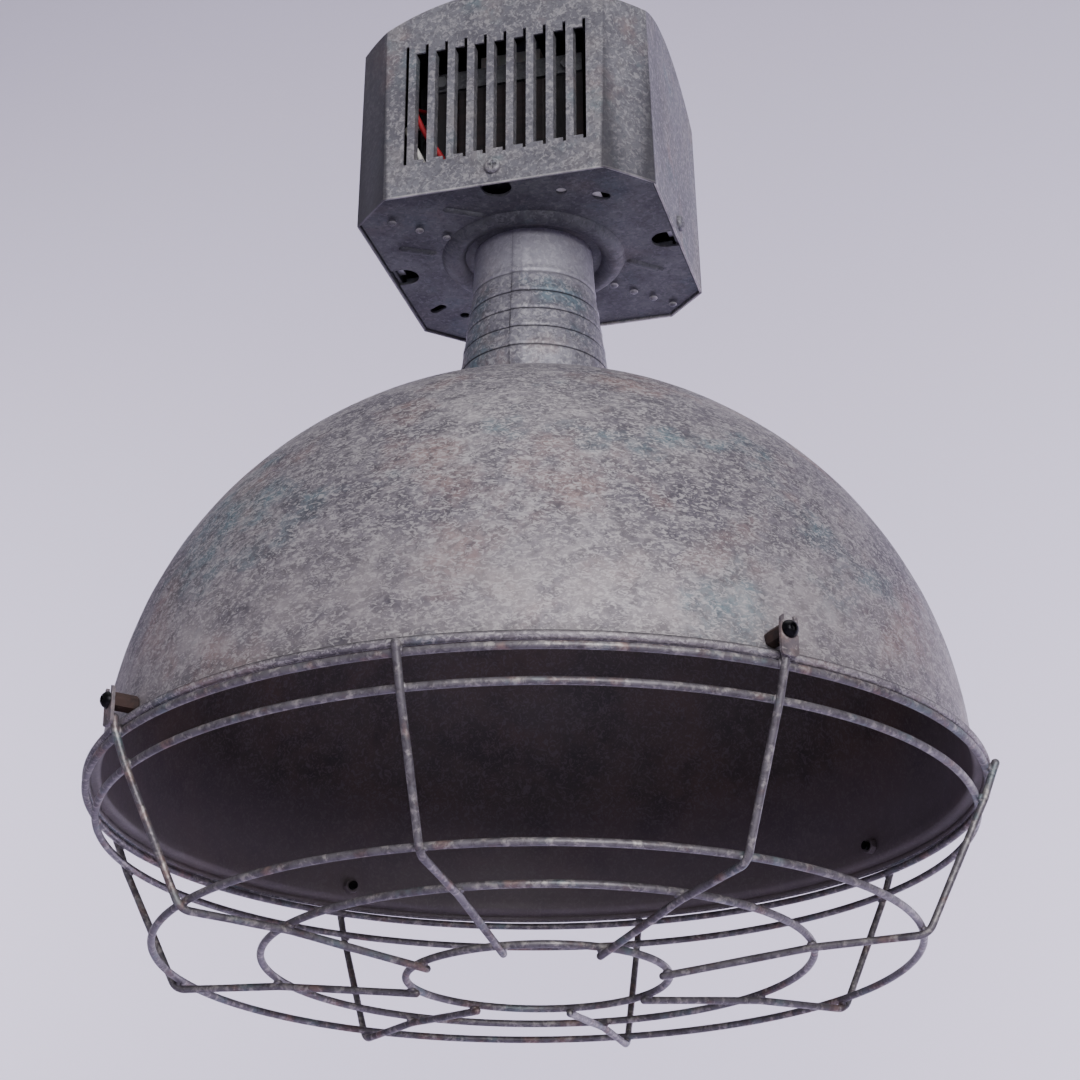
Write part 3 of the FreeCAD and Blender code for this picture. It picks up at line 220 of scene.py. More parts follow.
def nut(across_flats, height, bore):
    """Hexagon nut: at each height the hexagon, cut back by a cone at both ends, round a plain bore."""
    columns, half, edge = 72, across_flats / 2, across_flats * 0.07
    limit, level = spread([(0.97, 0), (1.06, edge / 2), (1.2, edge), (1.2, height - edge),
                           (1.06, height - edge / 2), (0.97, height)], columns)
    hole, depth = spread([(bore + 0.4, height), (bore, height - 0.4), (bore, 0.4), (bore + 0.4, 0)], columns)
    radius = np.concatenate([np.minimum(hexagon(half, columns), half * limit), hole])
    return shaped(radius, np.concatenate([level, depth]))


# --- meshes ---

def skin(grid, looped=False, hollow=False):
    """Faces between neighbouring points. Columns join round; rows join round if looped, else close in a pole.

    Faces point out of the shape, or into it if it is the wall of a hollow."""
    rows, columns = grid.shape[:2]
    points = grid.reshape(-1, 3)
    index = np.arange(rows * columns).reshape(rows, columns)
    if looped:
        index = np.vstack([index, index[:1]])
    across = np.roll(index, -1, axis=1)
    quads = np.stack([index[:-1], across[:-1], across[1:], index[1:]], axis=-1).reshape(-1, 4)
    fans = np.empty((0, 3), int)
    if not looped:
        ends = len(points) + np.arange(2)
        points = np.concatenate([points, [grid[0].mean(axis=0), grid[-1].mean(axis=0)]])
        first = np.stack([np.full(columns, ends[0]), across[0], index[0]], axis=1)
        last = np.stack([np.full(columns, ends[1]), index[-1], across[-1]], axis=1)
        fans = np.concatenate([first, last])
    corners = [points[np.concatenate([quads[:, :3], quads[:, [0, 2, 3]], fans])[:, k]] for k in range(3)]
    volume = np.einsum("ij,ij->i", corners[0], np.cross(corners[1], corners[2])).sum()
    if (volume < 0) != hollow:
        quads, fans = quads[:, ::-1], fans[:, ::-1]
    return points, quads, fans


def build(name, grids, looks, body, stands_for=(), looped=False, row_look=None, sharp=35,
          hollow=()):
    """One piece from its grids, in metres in the part's frame. It rides on a body and stands for CAD nodes.

    row_look picks a look for each row of faces. hollow numbers the grids that are walls of a hollow."""
    points, faces, offset = [], [], 0
    for number, grid in enumerate(grids):
        part_points, quads, fans = skin(grid, looped, number in hollow)
        points.append(part_points)
        faces += (quads + offset).tolist() + (fans + offset).tolist()
        offset += len(part_points)
    points = np.concatenate(points) - (0, 0, RIM_DROP)
    mesh = bpy.data.meshes.new(name)
    mesh.from_pydata((points / MM).tolist(), [], faces)
    for look in looks:
        mesh.materials.append(FINISH[look])
    if row_look is not None:
        mesh.polygons.foreach_set("material_index", np.repeat(row_look, grids[0].shape[1]))
    mesh.polygons.foreach_set("use_smooth", np.ones(len(faces), bool))
    mesh.set_sharp_from_angle(angle=np.radians(sharp))
    piece = bpy.data.objects.new(name, mesh)
    bpy.context.scene.collection.objects.link(piece)
    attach(piece, body)
    if stands_for:
        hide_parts(*stands_for)


def coat(look, *nodes):
    """Gives CAD nodes one of the finishes."""
    for name in nodes:
        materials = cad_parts[name].data.materials
        materials.clear()
        materials.append(FINISH[look])


# --- finishes ---

def linear(colour):
    """Linear RGBA of an sRGB hex colour, or of a setting's colour, which is linear already."""
    if not isinstance(colour, str):
        return [*colour, 1.0]
    parts = [int(colour[place:place + 2], 16) / 255 for place in (0, 2, 4)]
    return [part / 12.92 if part <= 0.04045 else ((part + 0.055) / 1.055) ** 2.4 for part in parts] + [1.0]


def add(tree, kind, inputs=None, **settings):
    """Adds one node: settings are its own properties, inputs its sockets' values or links."""
    node = tree.nodes.new("ShaderNode" + kind)
    for name, value in settings.items():
        setattr(node, name, value)
    for socket, value in (inputs or {}).items():
        if isinstance(value, bpy.types.NodeSocket):
            tree.links.new(value, node.inputs[socket])
        else:
            node.inputs[socket].default_value = value
    return node


def patches(tree, place, size, edges, stretch=(1, 1, 1), curl=0.0, detail=5.0):
    """Mask of cloud-shaped patches about size mm across, between two noise levels.

    stretch squeezes them along each axis, and curl draws them into threads."""
    mapped = add(tree, "Mapping", {"Vector": place, "Scale": stretch})
    noise = add(tree, "TexNoise", {"Vector": mapped.outputs[0], "Scale": 500 / size, "Detail": detail,
                                   "Roughness": 0.6, "Distortion": curl})
    mask = add(tree, "MapRange", {"Value": noise.outputs["Fac"], "From Min": edges[0], "From Max": edges[1]})
    return mask.outputs[0]


def between(tree, value, low, high, soft):
    """Mask that is 1 where a value lies between two limits, with soft edges."""
    rise = add(tree, "MapRange", {"Value": value, "From Min": low - soft, "From Max": low + soft})
    fall = add(tree, "MapRange", {"Value": value, "From Min": high + soft, "From Max": high - soft})
    return add(tree, "Math", {0: rise.outputs[0], 1: fall.outputs[0]}, operation="MULTIPLY").outputs[0]


def lay(tree, under, over, mask, share):
    """One colour over another, as thick as a mask times a share."""
    thickness = add(tree, "Math", {0: mask, 1: share}, operation="MULTIPLY")
    return add(tree, "Mix", {0: thickness.outputs[0], 6: under, 7: linear(over)}, data_type="RGBA").outputs[2]


def finish(name, base, layers=(), roughness=(0.45, 0.6), metallic=0.0, grain=(2.0, 0.05), bands=(), **shader):
    """A surface: a base colour, coloured patches over it, bands by height or radius in mm, and a fine grain.

    Each layer is (hex, size mm, (start, full), share, stretch, curl), the last two as in patches.
    Each band is (hex, axis, low, high, soft edge, share, whether it is broken into patches), in mm: "x" is
    across the lamp, "z" above the rim and "r" from the lamp's axis. Some bands are painted highlights or painted
    shade.
    roughness is (least, most), and grain (size mm, height mm). The rest are the shader's own sockets."""
    material = bpy.data.materials.new(name)
    material.use_nodes = True
    tree = material.node_tree
    place = add(tree, "TexCoord").outputs["Object"]
    colour = None
    for over, size, edges, share, *form in layers:
        mask = patches(tree, place, size, edges, *form)
        colour = lay(tree, colour or linear(base), over, mask, share)
    if bands:
        x, y, z = add(tree, "SeparateXYZ", {0: place}).outputs
        height = add(tree, "Math", {0: z, 1: MM, 2: RIM_DROP}, operation="MULTIPLY_ADD").outputs[0]
        flat = add(tree, "CombineXYZ", {0: x, 1: y})
        length = add(tree, "VectorMath", {0: flat.outputs[0]}, operation="LENGTH").outputs["Value"]
        radius = add(tree, "Math", {0: length, 1: MM}, operation="MULTIPLY").outputs[0]
        across = add(tree, "Math", {0: x, 1: MM}, operation="MULTIPLY").outputs[0]
        measures = {"x": across, "z": height, "r": radius}
        broken = patches(tree, place, 9, (0.3, 0.62))
        for over, axis, low, high, soft, share, patchy in bands:
            mask = between(tree, measures[axis], low, high, soft)
            mask = add(tree, "Math", {0: mask, 1: broken if patchy else 1.0}, operation="MULTIPLY").outputs[0]
            colour = lay(tree, colour or linear(base), over, mask, share)
    surface = tree.nodes["Principled BSDF"]
    surface.inputs["Metallic"].default_value = metallic
    for socket, value in shader.items():
        surface.inputs[socket.replace("_", " ").title().replace("Ior", "IOR")].default_value = value
    surface.inputs["Base Color"].default_value = linear(base)
    if colour:
        tree.links.new(colour, surface.inputs["Base Color"])
    sheen = add(tree, "MapRange", {"Value": patches(tree, place, 22, (0.3, 0.7)), "To Min": roughness[0],
                                   "To Max": roughness[1]})
    tree.links.new(sheen.outputs[0], surface.inputs["Roughness"])
    relief = patches(tree, place, grain[0], (0.2, 0.8), detail=3.0)
    bump = add(tree, "Bump", {"Height": relief, "Distance": grain[1] / MM})
    tree.links.new(bump.outputs[0], surface.inputs["Normal"])
    return material


EVEN = (1, 1, 1)            # patches as long as they are wide
FINISH = {}


def make_finishes(colours):
    """Every finish of the lamp, by the name of the thing that has it."""
    made = {}
    # Spun aluminium left outdoors: matt grey oxide with pale fibrous bloom, and faint teal and pink clouds.
    made["spun_aluminium"] = finish(
        "aluminium_spun_weathered", colours.dome,
        [("67626c", 56, (0.44, 0.58), 0.8), ("a29ba0", 26, (0.5, 0.62), 0.7),
         ("5f848e", 42, (0.53, 0.64), 0.65, (1, 1, 1.3)), ("a5847d", 30, (0.54, 0.66), 0.5),
         ("524d56", 5, (0.5, 0.6), 0.5, EVEN, 0.8), ("4d4851", 2.0, (0.5, 0.6), 0.5, EVEN, 1.2),
         ("cdc6c9", 6, (0.54, 0.66), 0.35, (1, 1, 1.6), 0.6), ("d2ccce", 1.7, (0.5, 0.6), 0.6, (1, 1, 1.8), 1.3)],
        roughness=(0.5, 0.66), metallic=0.45, grain=(1.6, 0.12),
        # Bands: a pale band just above the lip, broken into patches; a dark line where the lip turns into the
        # bead; and a near-white line along the flared lip, broken into patches, which is a painted highlight.
        bands=[("c9bfc0", "z", 6, 46, 26, 0.6, True), ("2a262b", "z", 0.9, 2.9, 0.6, 0.8, False),
               ("f2eded", "z", 3.5, 4.9, 0.5, 0.85, True)])
    # The reflecting side has gone brown-black with smoke and dust: satin, nearly even, paler near the rim.
    made["smoked_inside"] = finish(
        "aluminium_smoked_inside", colours.inside,
        [("5e4c42", 36, (0.45, 0.66), 0.6), ("2e2827", 16, (0.48, 0.66), 0.6),
         ("6c6462", 1.8, (0.51, 0.6), 0.5, EVEN, 2.0)],
        roughness=(0.42, 0.6), metallic=0.1, grain=(1.5, 0.08),
        bands=[("857c80", "z", -5, 40, 30, 0.6, False)])
    # Drawn steel wire, zinc-plated: dull grey with cream and pinkish scuffs where it has rubbed.
    made["guard_wire"] = finish(
        "steel_wire_zinc_plated_worn", colours.guard,
        [("554f55", 9, (0.48, 0.6), 0.7), ("a98b83", 9, (0.55, 0.65), 0.55), ("718a8f", 12, (0.57, 0.66), 0.45),
         ("4a454a", 2.0, (0.5, 0.6), 0.5, EVEN, 1.0), ("cfc8c2", 2.2, (0.52, 0.68), 0.6, EVEN, 0.3)],
        roughness=(0.38, 0.58), metallic=0.5, grain=(1.2, 0.15))
    # Pressed tabs of the same wire stock: a pinker, paler film of rust.
    made["guard_tab"] = finish(
        "steel_pressed_zinc_plated", "7b7277",
        [("a78d86", 7, (0.5, 0.64), 0.6), ("565055", 2.2, (0.5, 0.62), 0.6),
         ("c0b7b5", 1.8, (0.55, 0.66), 0.6, EVEN, 1.5)],
        roughness=(0.4, 0.6), metallic=0.45, grain=(1.2, 0.08))
    # Rolled aluminium sleeve: bluish grey, with dark lines along the grooves and the lap seam, and a pale band at
    # the top that is painted light where the gear box shades the neck.
    made["neck"] = finish(
        "aluminium_rolled_weathered", colours.neck,
        [("716e79", 20, (0.45, 0.6), 0.7), ("6c8e9b", 20, (0.55, 0.66), 0.5), ("a38f8b", 16, (0.57, 0.67), 0.4),
         ("56535d", 1.6, (0.48, 0.6), 0.45, EVEN, 0.8), ("d0cdd1", 1.4, (0.5, 0.62), 0.5, EVEN, 0.9)],
        roughness=(0.48, 0.64), metallic=0.45, grain=(1.4, 0.12),
        bands=[("26242b", "z", height - 0.45, height + 0.45, 0.3, 0.9, False) for height in GROOVES]
        + [("2b2930", "x", -3.5, -2.8, 0.25, 0.9, True), ("bcb9c5", "z", 306, 340, 8, 0.5, False)])
    # Folded cover sheet: a warmer grey, with a bright line along its bottom edge, broken into patches, that is a
    # painted highlight, a dark line at each fold, and painted shade darkening its left side.
    made["cover"] = finish(
        "aluminium_folded_weathered", colours.cover,
        [("67656d", 34, (0.44, 0.6), 0.75), ("a39c9b", 20, (0.52, 0.66), 0.5), ("68868d", 26, (0.55, 0.66), 0.5),
         ("9f827c", 24, (0.56, 0.67), 0.45), ("55525a", 1.6, (0.48, 0.6), 0.45, EVEN, 0.8),
         ("cbc7c9", 1.4, (0.5, 0.62), 0.45, EVEN, 0.9)],
        roughness=(0.48, 0.64), metallic=0.45, grain=(1.4, 0.12),
        bands=[("dcd7d6", "z", 332.4, 333.8, 0.4, 0.8, True), ("3d3b42", "r", 107.6, 112, 0.5, 0.8, False),
               ("5a585f", "x", -90, -66, 3.0, 0.75, False)])
    # Base plate: the same sheet with dusty patches, painted dark grey as shade for its unlit underside, and a
    # darker ring of painted shade round the neck's foot.
    made["plate"] = finish(
        "aluminium_plate_painted_shade", colours.plate,
        [("4a4851", 22, (0.45, 0.6), 0.7), ("6f6767", 16, (0.55, 0.66), 0.5), ("51646c", 20, (0.56, 0.67), 0.4),
         ("3c3a42", 1.8, (0.48, 0.62), 0.45, EVEN, 0.8), ("858489", 1.5, (0.52, 0.64), 0.4, EVEN, 0.9)],
        roughness=(0.5, 0.68), metallic=0.4, grain=(1.4, 0.12),
        bands=[("2f2d35", "r", 38, 46, 3, 0.6, False)])
    # Plain zinc-plated fixings: pale and slightly blue, brighter than the sheet.
    made["zinc"] = finish(
        "steel_zinc_plated", "a9a9ad", [("87868b", 6, (0.48, 0.64), 0.6), ("8b6f60", 9, (0.64, 0.72), 0.5)],
        roughness=(0.3, 0.48), metallic=0.85, grain=(1.2, 0.03))
    # Black-oxide screws: near black, with a soft oily highlight.
    made["black_screw"] = finish(
        "steel_black_oxide", "17161a", [("2f2b2c", 4, (0.52, 0.66), 0.6)],
        roughness=(0.28, 0.42), metallic=0.8, grain=(1.0, 0.03))
    # Rusted long nuts: red-brown scale over dark steel.
    made["rusty"] = finish(
        "steel_rusted", "45322e", [("241e20", 6, (0.46, 0.58), 0.8), ("8d6a5c", 3, (0.58, 0.68), 0.6)],
        roughness=(0.6, 0.85), metallic=0.3, grain=(1.2, 0.12))
    # Hot-dip galvanised strap and stem: crystal spangle as large soft plates of grey.
    made["galvanised"] = finish(
        "steel_hot_dip_galvanised", "8e9196", [("777a80", 9, (0.47, 0.55), 0.7), ("a6a9ac", 12, (0.54, 0.6), 0.6)],
        roughness=(0.35, 0.55), metallic=0.8, grain=(3, 0.04))
    # Nickel-plated brass gland: warm pale metal with darker hollows.
    made["gland"] = finish(
        "brass_nickel_plated", "a59c88", [("7d735d", 8, (0.5, 0.66), 0.6)],
        roughness=(0.3, 0.46), metallic=0.9, grain=(1.5, 0.02))
    # Neoprene seal: matt black with grey dust.
    made["seal"] = finish(
        "neoprene_moulded", "1b1b1d", [("3b3a3c", 5, (0.55, 0.7), 0.5)],
        roughness=(0.7, 0.85), grain=(0.8, 0.04))
    # Silicon-steel laminations: fine dark and light lines across the stack, the dark grey deepened by painted
    # shade inside the box.
    made["laminations"] = finish(
        "silicon_steel_laminated", "2c2a2d", [("454346", 3, (0.46, 0.54), 0.8, (0.05, 0.7, 0.05)),
                                             ("3c2e29", 14, (0.56, 0.68), 0.6)],
        roughness=(0.5, 0.65), metallic=0.5, grain=(1.4, 0.15))
    # Enamelled copper winding soaked in black varnish, darkened further to near-black brown as painted shade
    # inside the box; turns as fine ridges.
    made["winding"] = finish(
        "copper_wound_varnished", "1d1718", [("302424", 2.4, (0.44, 0.58), 0.8, (0.1, 1, 1)),
                                            ("171214", 14, (0.55, 0.7), 0.6)],
        roughness=(0.3, 0.45), metallic=0.2, grain=(1.6, 0.2), coat_weight=0.3)
    # Drawn aluminium can: smooth satin with faint draw lines.
    made["can"] = finish(
        "aluminium_drawn", "b4b3b6", [("98979b", 5, (0.45, 0.6), 0.6, (1, 1, 0.08))],
        roughness=(0.3, 0.42), metallic=0.9, grain=(1.5, 0.02))
    # Moulded igniter case: off-white plastic gone yellow.
    made["igniter"] = finish(
        "polycarbonate_moulded", "c9c3b0", [("a79f88", 18, (0.5, 0.7), 0.6)],
        roughness=(0.4, 0.55), grain=(0.8, 0.03))
    # Nylon terminal block: milky and slightly waxy.
    made["terminal"] = finish(
        "nylon_moulded", "ddd9cd", [("b7b0a0", 8, (0.54, 0.7), 0.5)],
        roughness=(0.35, 0.5), grain=(0.8, 0.02), subsurface_weight=0.15)
    # Vulcanised fibre card: white gone a little cream, with soft grey smudges.
    made["card"] = finish(
        "fibre_card_vulcanised", "f4f2ee", [("cfcac2", 10, (0.56, 0.7), 0.5)],
        roughness=(0.6, 0.75), grain=(1.5, 0.05))
    # Contact brass: yellow, tarnished brown in patches.
    made["brass"] = finish(
        "brass_turned", "b08d48", [("6f5428", 6, (0.5, 0.66), 0.7)],
        roughness=(0.28, 0.42), metallic=0.95, grain=(1, 0.02))
    # Silicone-rubber leads: matt, with a little dust.
    made["red_lead"] = finish(
        "silicone_lead_red", colours.red, [("7c1d22", 12, (0.52, 0.7), 0.5)],
        roughness=(0.45, 0.6), grain=(1, 0.02))
    made["white_lead"] = finish(
        "silicone_lead_white", colours.white, [("b5b0a8", 12, (0.54, 0.7), 0.5)],
        roughness=(0.45, 0.6), grain=(1, 0.02))
    # Glazed porcelain lampholder: bright white under a hard gloss, a little crazed and dusty.
    made["porcelain"] = finish(
        "porcelain_glazed", "dcd8d0", [("b3aca1", 16, (0.56, 0.7), 0.5)],
        roughness=(0.15, 0.28), grain=(6, 0.03), coat_weight=0.5)
    # Nickel-plated lamp cap: bright, worn along the crests.
    made["lamp_cap"] = finish(
        "brass_nickel_plated_rolled", "b9b4a8", [("8c8473", 7, (0.52, 0.66), 0.6)],
        roughness=(0.22, 0.36), metallic=0.95, grain=(1.2, 0.02))
    # Blown glass envelope: clear and thin, with faint dust.
    made["glass"] = finish(
        "glass_blown_clear", "f4f7f6", [("dfe4e2", 30, (0.5, 0.7), 0.5)],
        roughness=(0.02, 0.08), grain=(20, 0.02), transmission_weight=1.0, ior=1.5)
    # Fused quartz arc tube: a milky, thicker glass.
    made["quartz"] = finish(
        "quartz_fused", "e9ecef", [("c4c8cc", 8, (0.5, 0.7), 0.5)],
        roughness=(0.15, 0.3), grain=(4, 0.02), transmission_weight=0.7, ior=1.46)
    # Nickel support wire: bright, slightly heat-tinted.
    made["nickel"] = finish(
        "nickel_wire_drawn", "a8a49d", [("86795f", 7, (0.54, 0.68), 0.6)],
        roughness=(0.28, 0.4), metallic=0.95, grain=(1, 0.02))
    return made


# --- settings ---

def colour_setting(name, description, colour):
    """A colour the user can change."""
    return FloatVectorProperty(name=name, description=description, default=linear(colour)[:3], min=0.0, max=1.0,
                               subtype="COLOR")


def size_setting(name, description, default, low, high):
    """A size in metres, between two limits."""
    return FloatProperty(name=name, description=description, default=default, min=low, max=high, unit="LENGTH",
                         precision=5)


def power_setting(name, description, default):
    """The power of a light."""
    return FloatProperty(name=name, description=description, default=default, min=0.0, unit="POWER")


class FinishSettings(bpy.types.PropertyGroup):
    """The lamp's main colours"""
    dome: colour_setting("Dome", "Grey under the bloom on the spun dome", "868088")
    inside: colour_setting("Inside", "Brown-black of the smoked inside of the dome", "4a433d")
    guard: colour_setting("Guard", "Grey of the guard's zinc-plated wire", "7a757a")
    neck: colour_setting("Neck", "Bluish grey of the rolled neck", "96939d")
    cover: colour_setting("Cover", "Grey of the gear box's folded cover", "84838a")
    # The plate's dark grey is painted shade for its unlit underside.
    plate: colour_setting("Base plate", "Dark grey of the plate under the gear box", "646568")
    red: colour_setting("Red lead", "Colour of the first lead", "a8222a")
    white: colour_setting("White lead", "Colour of the second lead", "e6e3de")


class ReflectorSettings(bpy.types.PropertyGroup):
    """Sizes of the spun reflector"""
    unevenness: size_setting(
        "Unevenness", "How far the spun wall strays from a true sphere", 0.00035, 0.0, 0.001)
    bead: size_setting("Bead radius", "Radius of the rolled bead along the rim", 0.0023, 0.001, 0.0023)
    smoothness: IntProperty(
        name="Columns", description="Faces round the reflector", default=240, min=64, max=360)


class GuardSettings(bpy.types.PropertyGroup):
    """Sizes of the wire guard"""
    wire: size_setting("Wire radius", "Radius of the guard's wire", 0.002, 0.001, 0.002)
    wander: size_setting("Wander", "How far a ring strays from a true circle", 0.00025, 0.0, 0.0005)
    weld: size_setting("Weld size", "Half length of each spot of weld metal", 0.003, 0.0015, 0.004)


class GearBoxSettings(bpy.types.PropertyGroup):
    """Sizes of the neck"""
    groove: size_setting("Groove depth", "Depth of the rolled grooves in the neck", 0.0007, 0.0, 0.001)
    lap: size_setting("Seam step", "How far the neck's lap seam stands proud", 0.0006, 0.0, 0.0007)


class LampSettings(bpy.types.PropertyGroup):
    """Sizes of the lamp's screw cap"""
    thread: size_setting("Thread depth", "Depth of the rolled thread on the lamp's cap", 0.0013, 0.0005, 0.0015)
    pitch: size_setting("Thread pitch", "Rise of the cap's thread in one turn", 0.00635, 0.004, 0.008)


class StageSettings(bpy.types.PropertyGroup):
    """Backdrop, lights and camera"""
    backdrop: colour_setting("Backdrop", "Colour of the floor and the wall behind the lamp", "d8d0e8")
    key: power_setting("Main light", "Power of the large soft light in front, to the right", 118.0)
    fill: power_setting("Fill light", "Power of the soft light at the left", 5.0)
    top: power_setting("Top light", "Power of the soft light overhead", 26.0)
    wall: power_setting("Wall light", "Power of each soft light on the backdrop", 215.0)
    lens: FloatProperty(
        name="Lens", description="Focal length of the camera", default=81.67, min=20.0, unit="CAMERA")


# --- pieces ---

class LAMP_OT_finishes(bpy.types.Operator):
    """Makes the procedural finishes that the other steps give to their pieces"""
    bl_idname = "pendant_lamp.finishes"
    bl_label = "Finishes"

    def execute(self, context):
        FINISH.update(make_finishes(context.scene.pendant_lamp.finishes))
        return {"FINISHED"}


class LAMP_OT_reflector(bpy.types.Operator):
    """Spins the reflector: a hemisphere with a flared lip and a rolled bead, dark inside"""
    bl_idname = "pendant_lamp.reflector"
    bl_label = "Reflector"

    def execute(self, context):
        settings = context.scene.pendant_lamp.reflector
        bead = settings.bead * MM
        lip_top = 5.0
        tilt = np.linspace(np.arccos(NECK_HOLE / SHELL), np.arcsin((lip_top - SHELL_CENTRE) / SHELL), 70)
        outside = arc(SHELL, tilt, (0, SHELL_CENTRE))
        lip = np.array([[232.1, 3.9], [233.6, 3.0], [235.4, 2.45]])
        roll = arc(bead, np.radians(np.linspace(95, -205, 22)), (RIM - bead, 0))
        turned_in = np.array([[233.0, 1.7], [231.3, 2.6], [230.5, 4.2]])
        inside = arc(SHELL - SHEET, tilt, (0, SHELL_CENTRE))
        inside[0, 0] = NECK_HOLE
        outline = np.concatenate([outside, lip, roll, turned_in, inside[::-1]])
        turn = angles(settings.smoothness)
        radius, height = outline[:, :1], outline[:, 1:]
        wall = np.clip((height - 20) / 60, 0, 1) * np.clip((radius - 60) / 60, 0, 1)
        stray = settings.unevenness * MM * wall
        wave = np.sin(3 * turn + height / 31) * 0.5 + np.sin(7 * turn - height / 17 + 1.3) * 0.3
        wave = wave + np.sin(height / 4.3 + 0.4 * np.sin(2 * turn)) * 0.2
        bead_rows_outside = 16
        looks = np.zeros(len(outline), int)
        looks[len(outside) + len(lip) + bead_rows_outside:-1] = 1
        build("reflector_spun", [shaped(radius + stray * wave * 0.9 - stray, height)],
              ["spun_aluminium", "smoked_inside"], "fixture", ["reflector_dome"],
              looped=True, row_look=looks, sharp=50)
        return {"FINISHED"}


def ring_line(name, wander):
    """Ring's centre line: a circle whose radius and height stray by slow sines round the turn."""
    radius, height = RINGS[name]
    turn = angles(int(radius * 1.6))
    phase = radius
    radius = radius - wander + wander * np.sin(3 * turn + phase)
    height = height + wander * np.sin(2 * turn + 2 * phase)
    return shaped(radius[None], height)[0]


class LAMP_OT_guard_rings(bpy.types.Operator):
    """Bends the guard's five rings of wire, each a little out of true"""
    bl_idname = "pendant_lamp.guard_rings"
    bl_label = "Guard rings"

    def execute(self, context):
        settings = context.scene.pendant_lamp.guard
        for name in RINGS:
            grid = wire(ring_line(name, settings.wander * MM), settings.wire * MM, (0, 0, 1), looped=True)
            build("wire_ring_" + name, [grid], ["guard_wire"], "guard", ["guard_ring_" + name],
                  looped=True)
        return {"FINISHED"}


def beside(ring, angle, extra=0.0):
    """Where a welded wire's middle runs beside a ring's, at an angle above the outward direction."""
    radius, height = RINGS[ring]
    turn = np.radians(angle)
    return radius + WIRE_REACH * np.cos(turn) - extra, height + WIRE_REACH * np.sin(turn)


def rib_grids(wire_radius, weld, tip):
    """A rib at the front: the bent wire with a swollen tip, and a spot of weld metal at each ring."""
    outline = [(RIB_TIP_RADIUS, tip), beside("top", 0), beside("upper", -20), RIB_CORNER,
               beside("middle", -90), beside("center", -90, 2.5)]
    line = evened(bent([(0, -radius, height) for radius, height in outline], RIB_BENDS), 1.6)
    along = np.concatenate([[0], np.cumsum(np.linalg.norm(np.diff(line, axis=0), axis=1))])
    swell = 0.35 * np.exp(-(along / 2.4) ** 2)
    line = line + np.stack([0 * along, swell, 0 * along], axis=1)
    grids = [wire(line, wire_radius + swell + 0.05 * np.sin(along / 7.0), (1, 0, 0))]
    for ring, angle in WELDS:
        radius, height = RINGS[ring]
        turn = np.radians(angle)
        axis = np.array([0, -np.cos(turn), np.sin(turn)])
        middle = np.array([0, -radius, height]) + axis * WIRE_REACH / 2
        grids.append(blob(middle, (weld, 1.5, weld * 0.9), [(1, 0, 0), axis, np.cross((1, 0, 0), axis)]))
    radius, height = RINGS["shoulder"]
    grids.append(blob(np.array([0, -radius - 0.9, height - 1.6]), (weld, 1.7, 1.7), np.eye(3)))
    return grids


class LAMP_OT_guard_ribs(bpy.types.Operator):
    """Bends the guard's eight ribs and spots them to the rings with weld metal"""
    bl_idname = "pendant_lamp.guard_ribs"
    bl_label = "Guard ribs"

    def execute(self, context):
        settings = context.scene.pendant_lamp.guard
        plain, tabbed = [rib_grids(settings.wire * MM, settings.weld * MM, tip) for tip in (PLAIN_TIP, TAB_TIP)]
        for number, angle in enumerate(RIB_ANGLES, 1):
            grids = [turned(grid, angle) for grid in (tabbed if angle in TAB_ANGLES else plain)]
            build("wire_rib_%d" % number, grids, ["guard_wire"], "guard",
                  ["guard_rib_%d" % number], sharp=60)
        return {"FINISHED"}


class LAMP_OT_guard_fixings(bpy.types.Operator):
    """Turns the ball-headed screws, long nuts and inner nuts that hold the guard"""
    bl_idname = "pendant_lamp.guard_fixings"
    bl_label = "Guard fixings"

    def execute(self, context):
        seat = TAB_FACE + TAB_SHEET + PLAY
        screw = button_screw(4.4, 3.6, M5, seat - SHELL + 8, 3.0)
        spacer = nut(8, TAB_FACE - PLAY - SHELL - 0.02, M5)
        groups = (("screws", screw, seat, 1, "black_screw", "black_steel", False),
                  ("spacers", spacer, TAB_FACE - PLAY, -1, "rusty", "rusty_steel", True),
                  ("nuts", nut(*M5_NUT), SHELL - SHEET - 0.45, -1, "smoked_inside", "rusty_steel", True))
        for name, shape, radius, way, look, slot, looped in groups:
            grids = [placed(shape, outward(angle) * radius + (0, 0, GUARD_SCREW_HEIGHT), outward(angle) * way)
                     for angle in TAB_ANGLES]
            build("turned_" + name, grids, [look], "fixture", ["guard_" + name], looped=looped)
        coat("guard_tab", "guard_tabs")
        return {"FINISHED"}


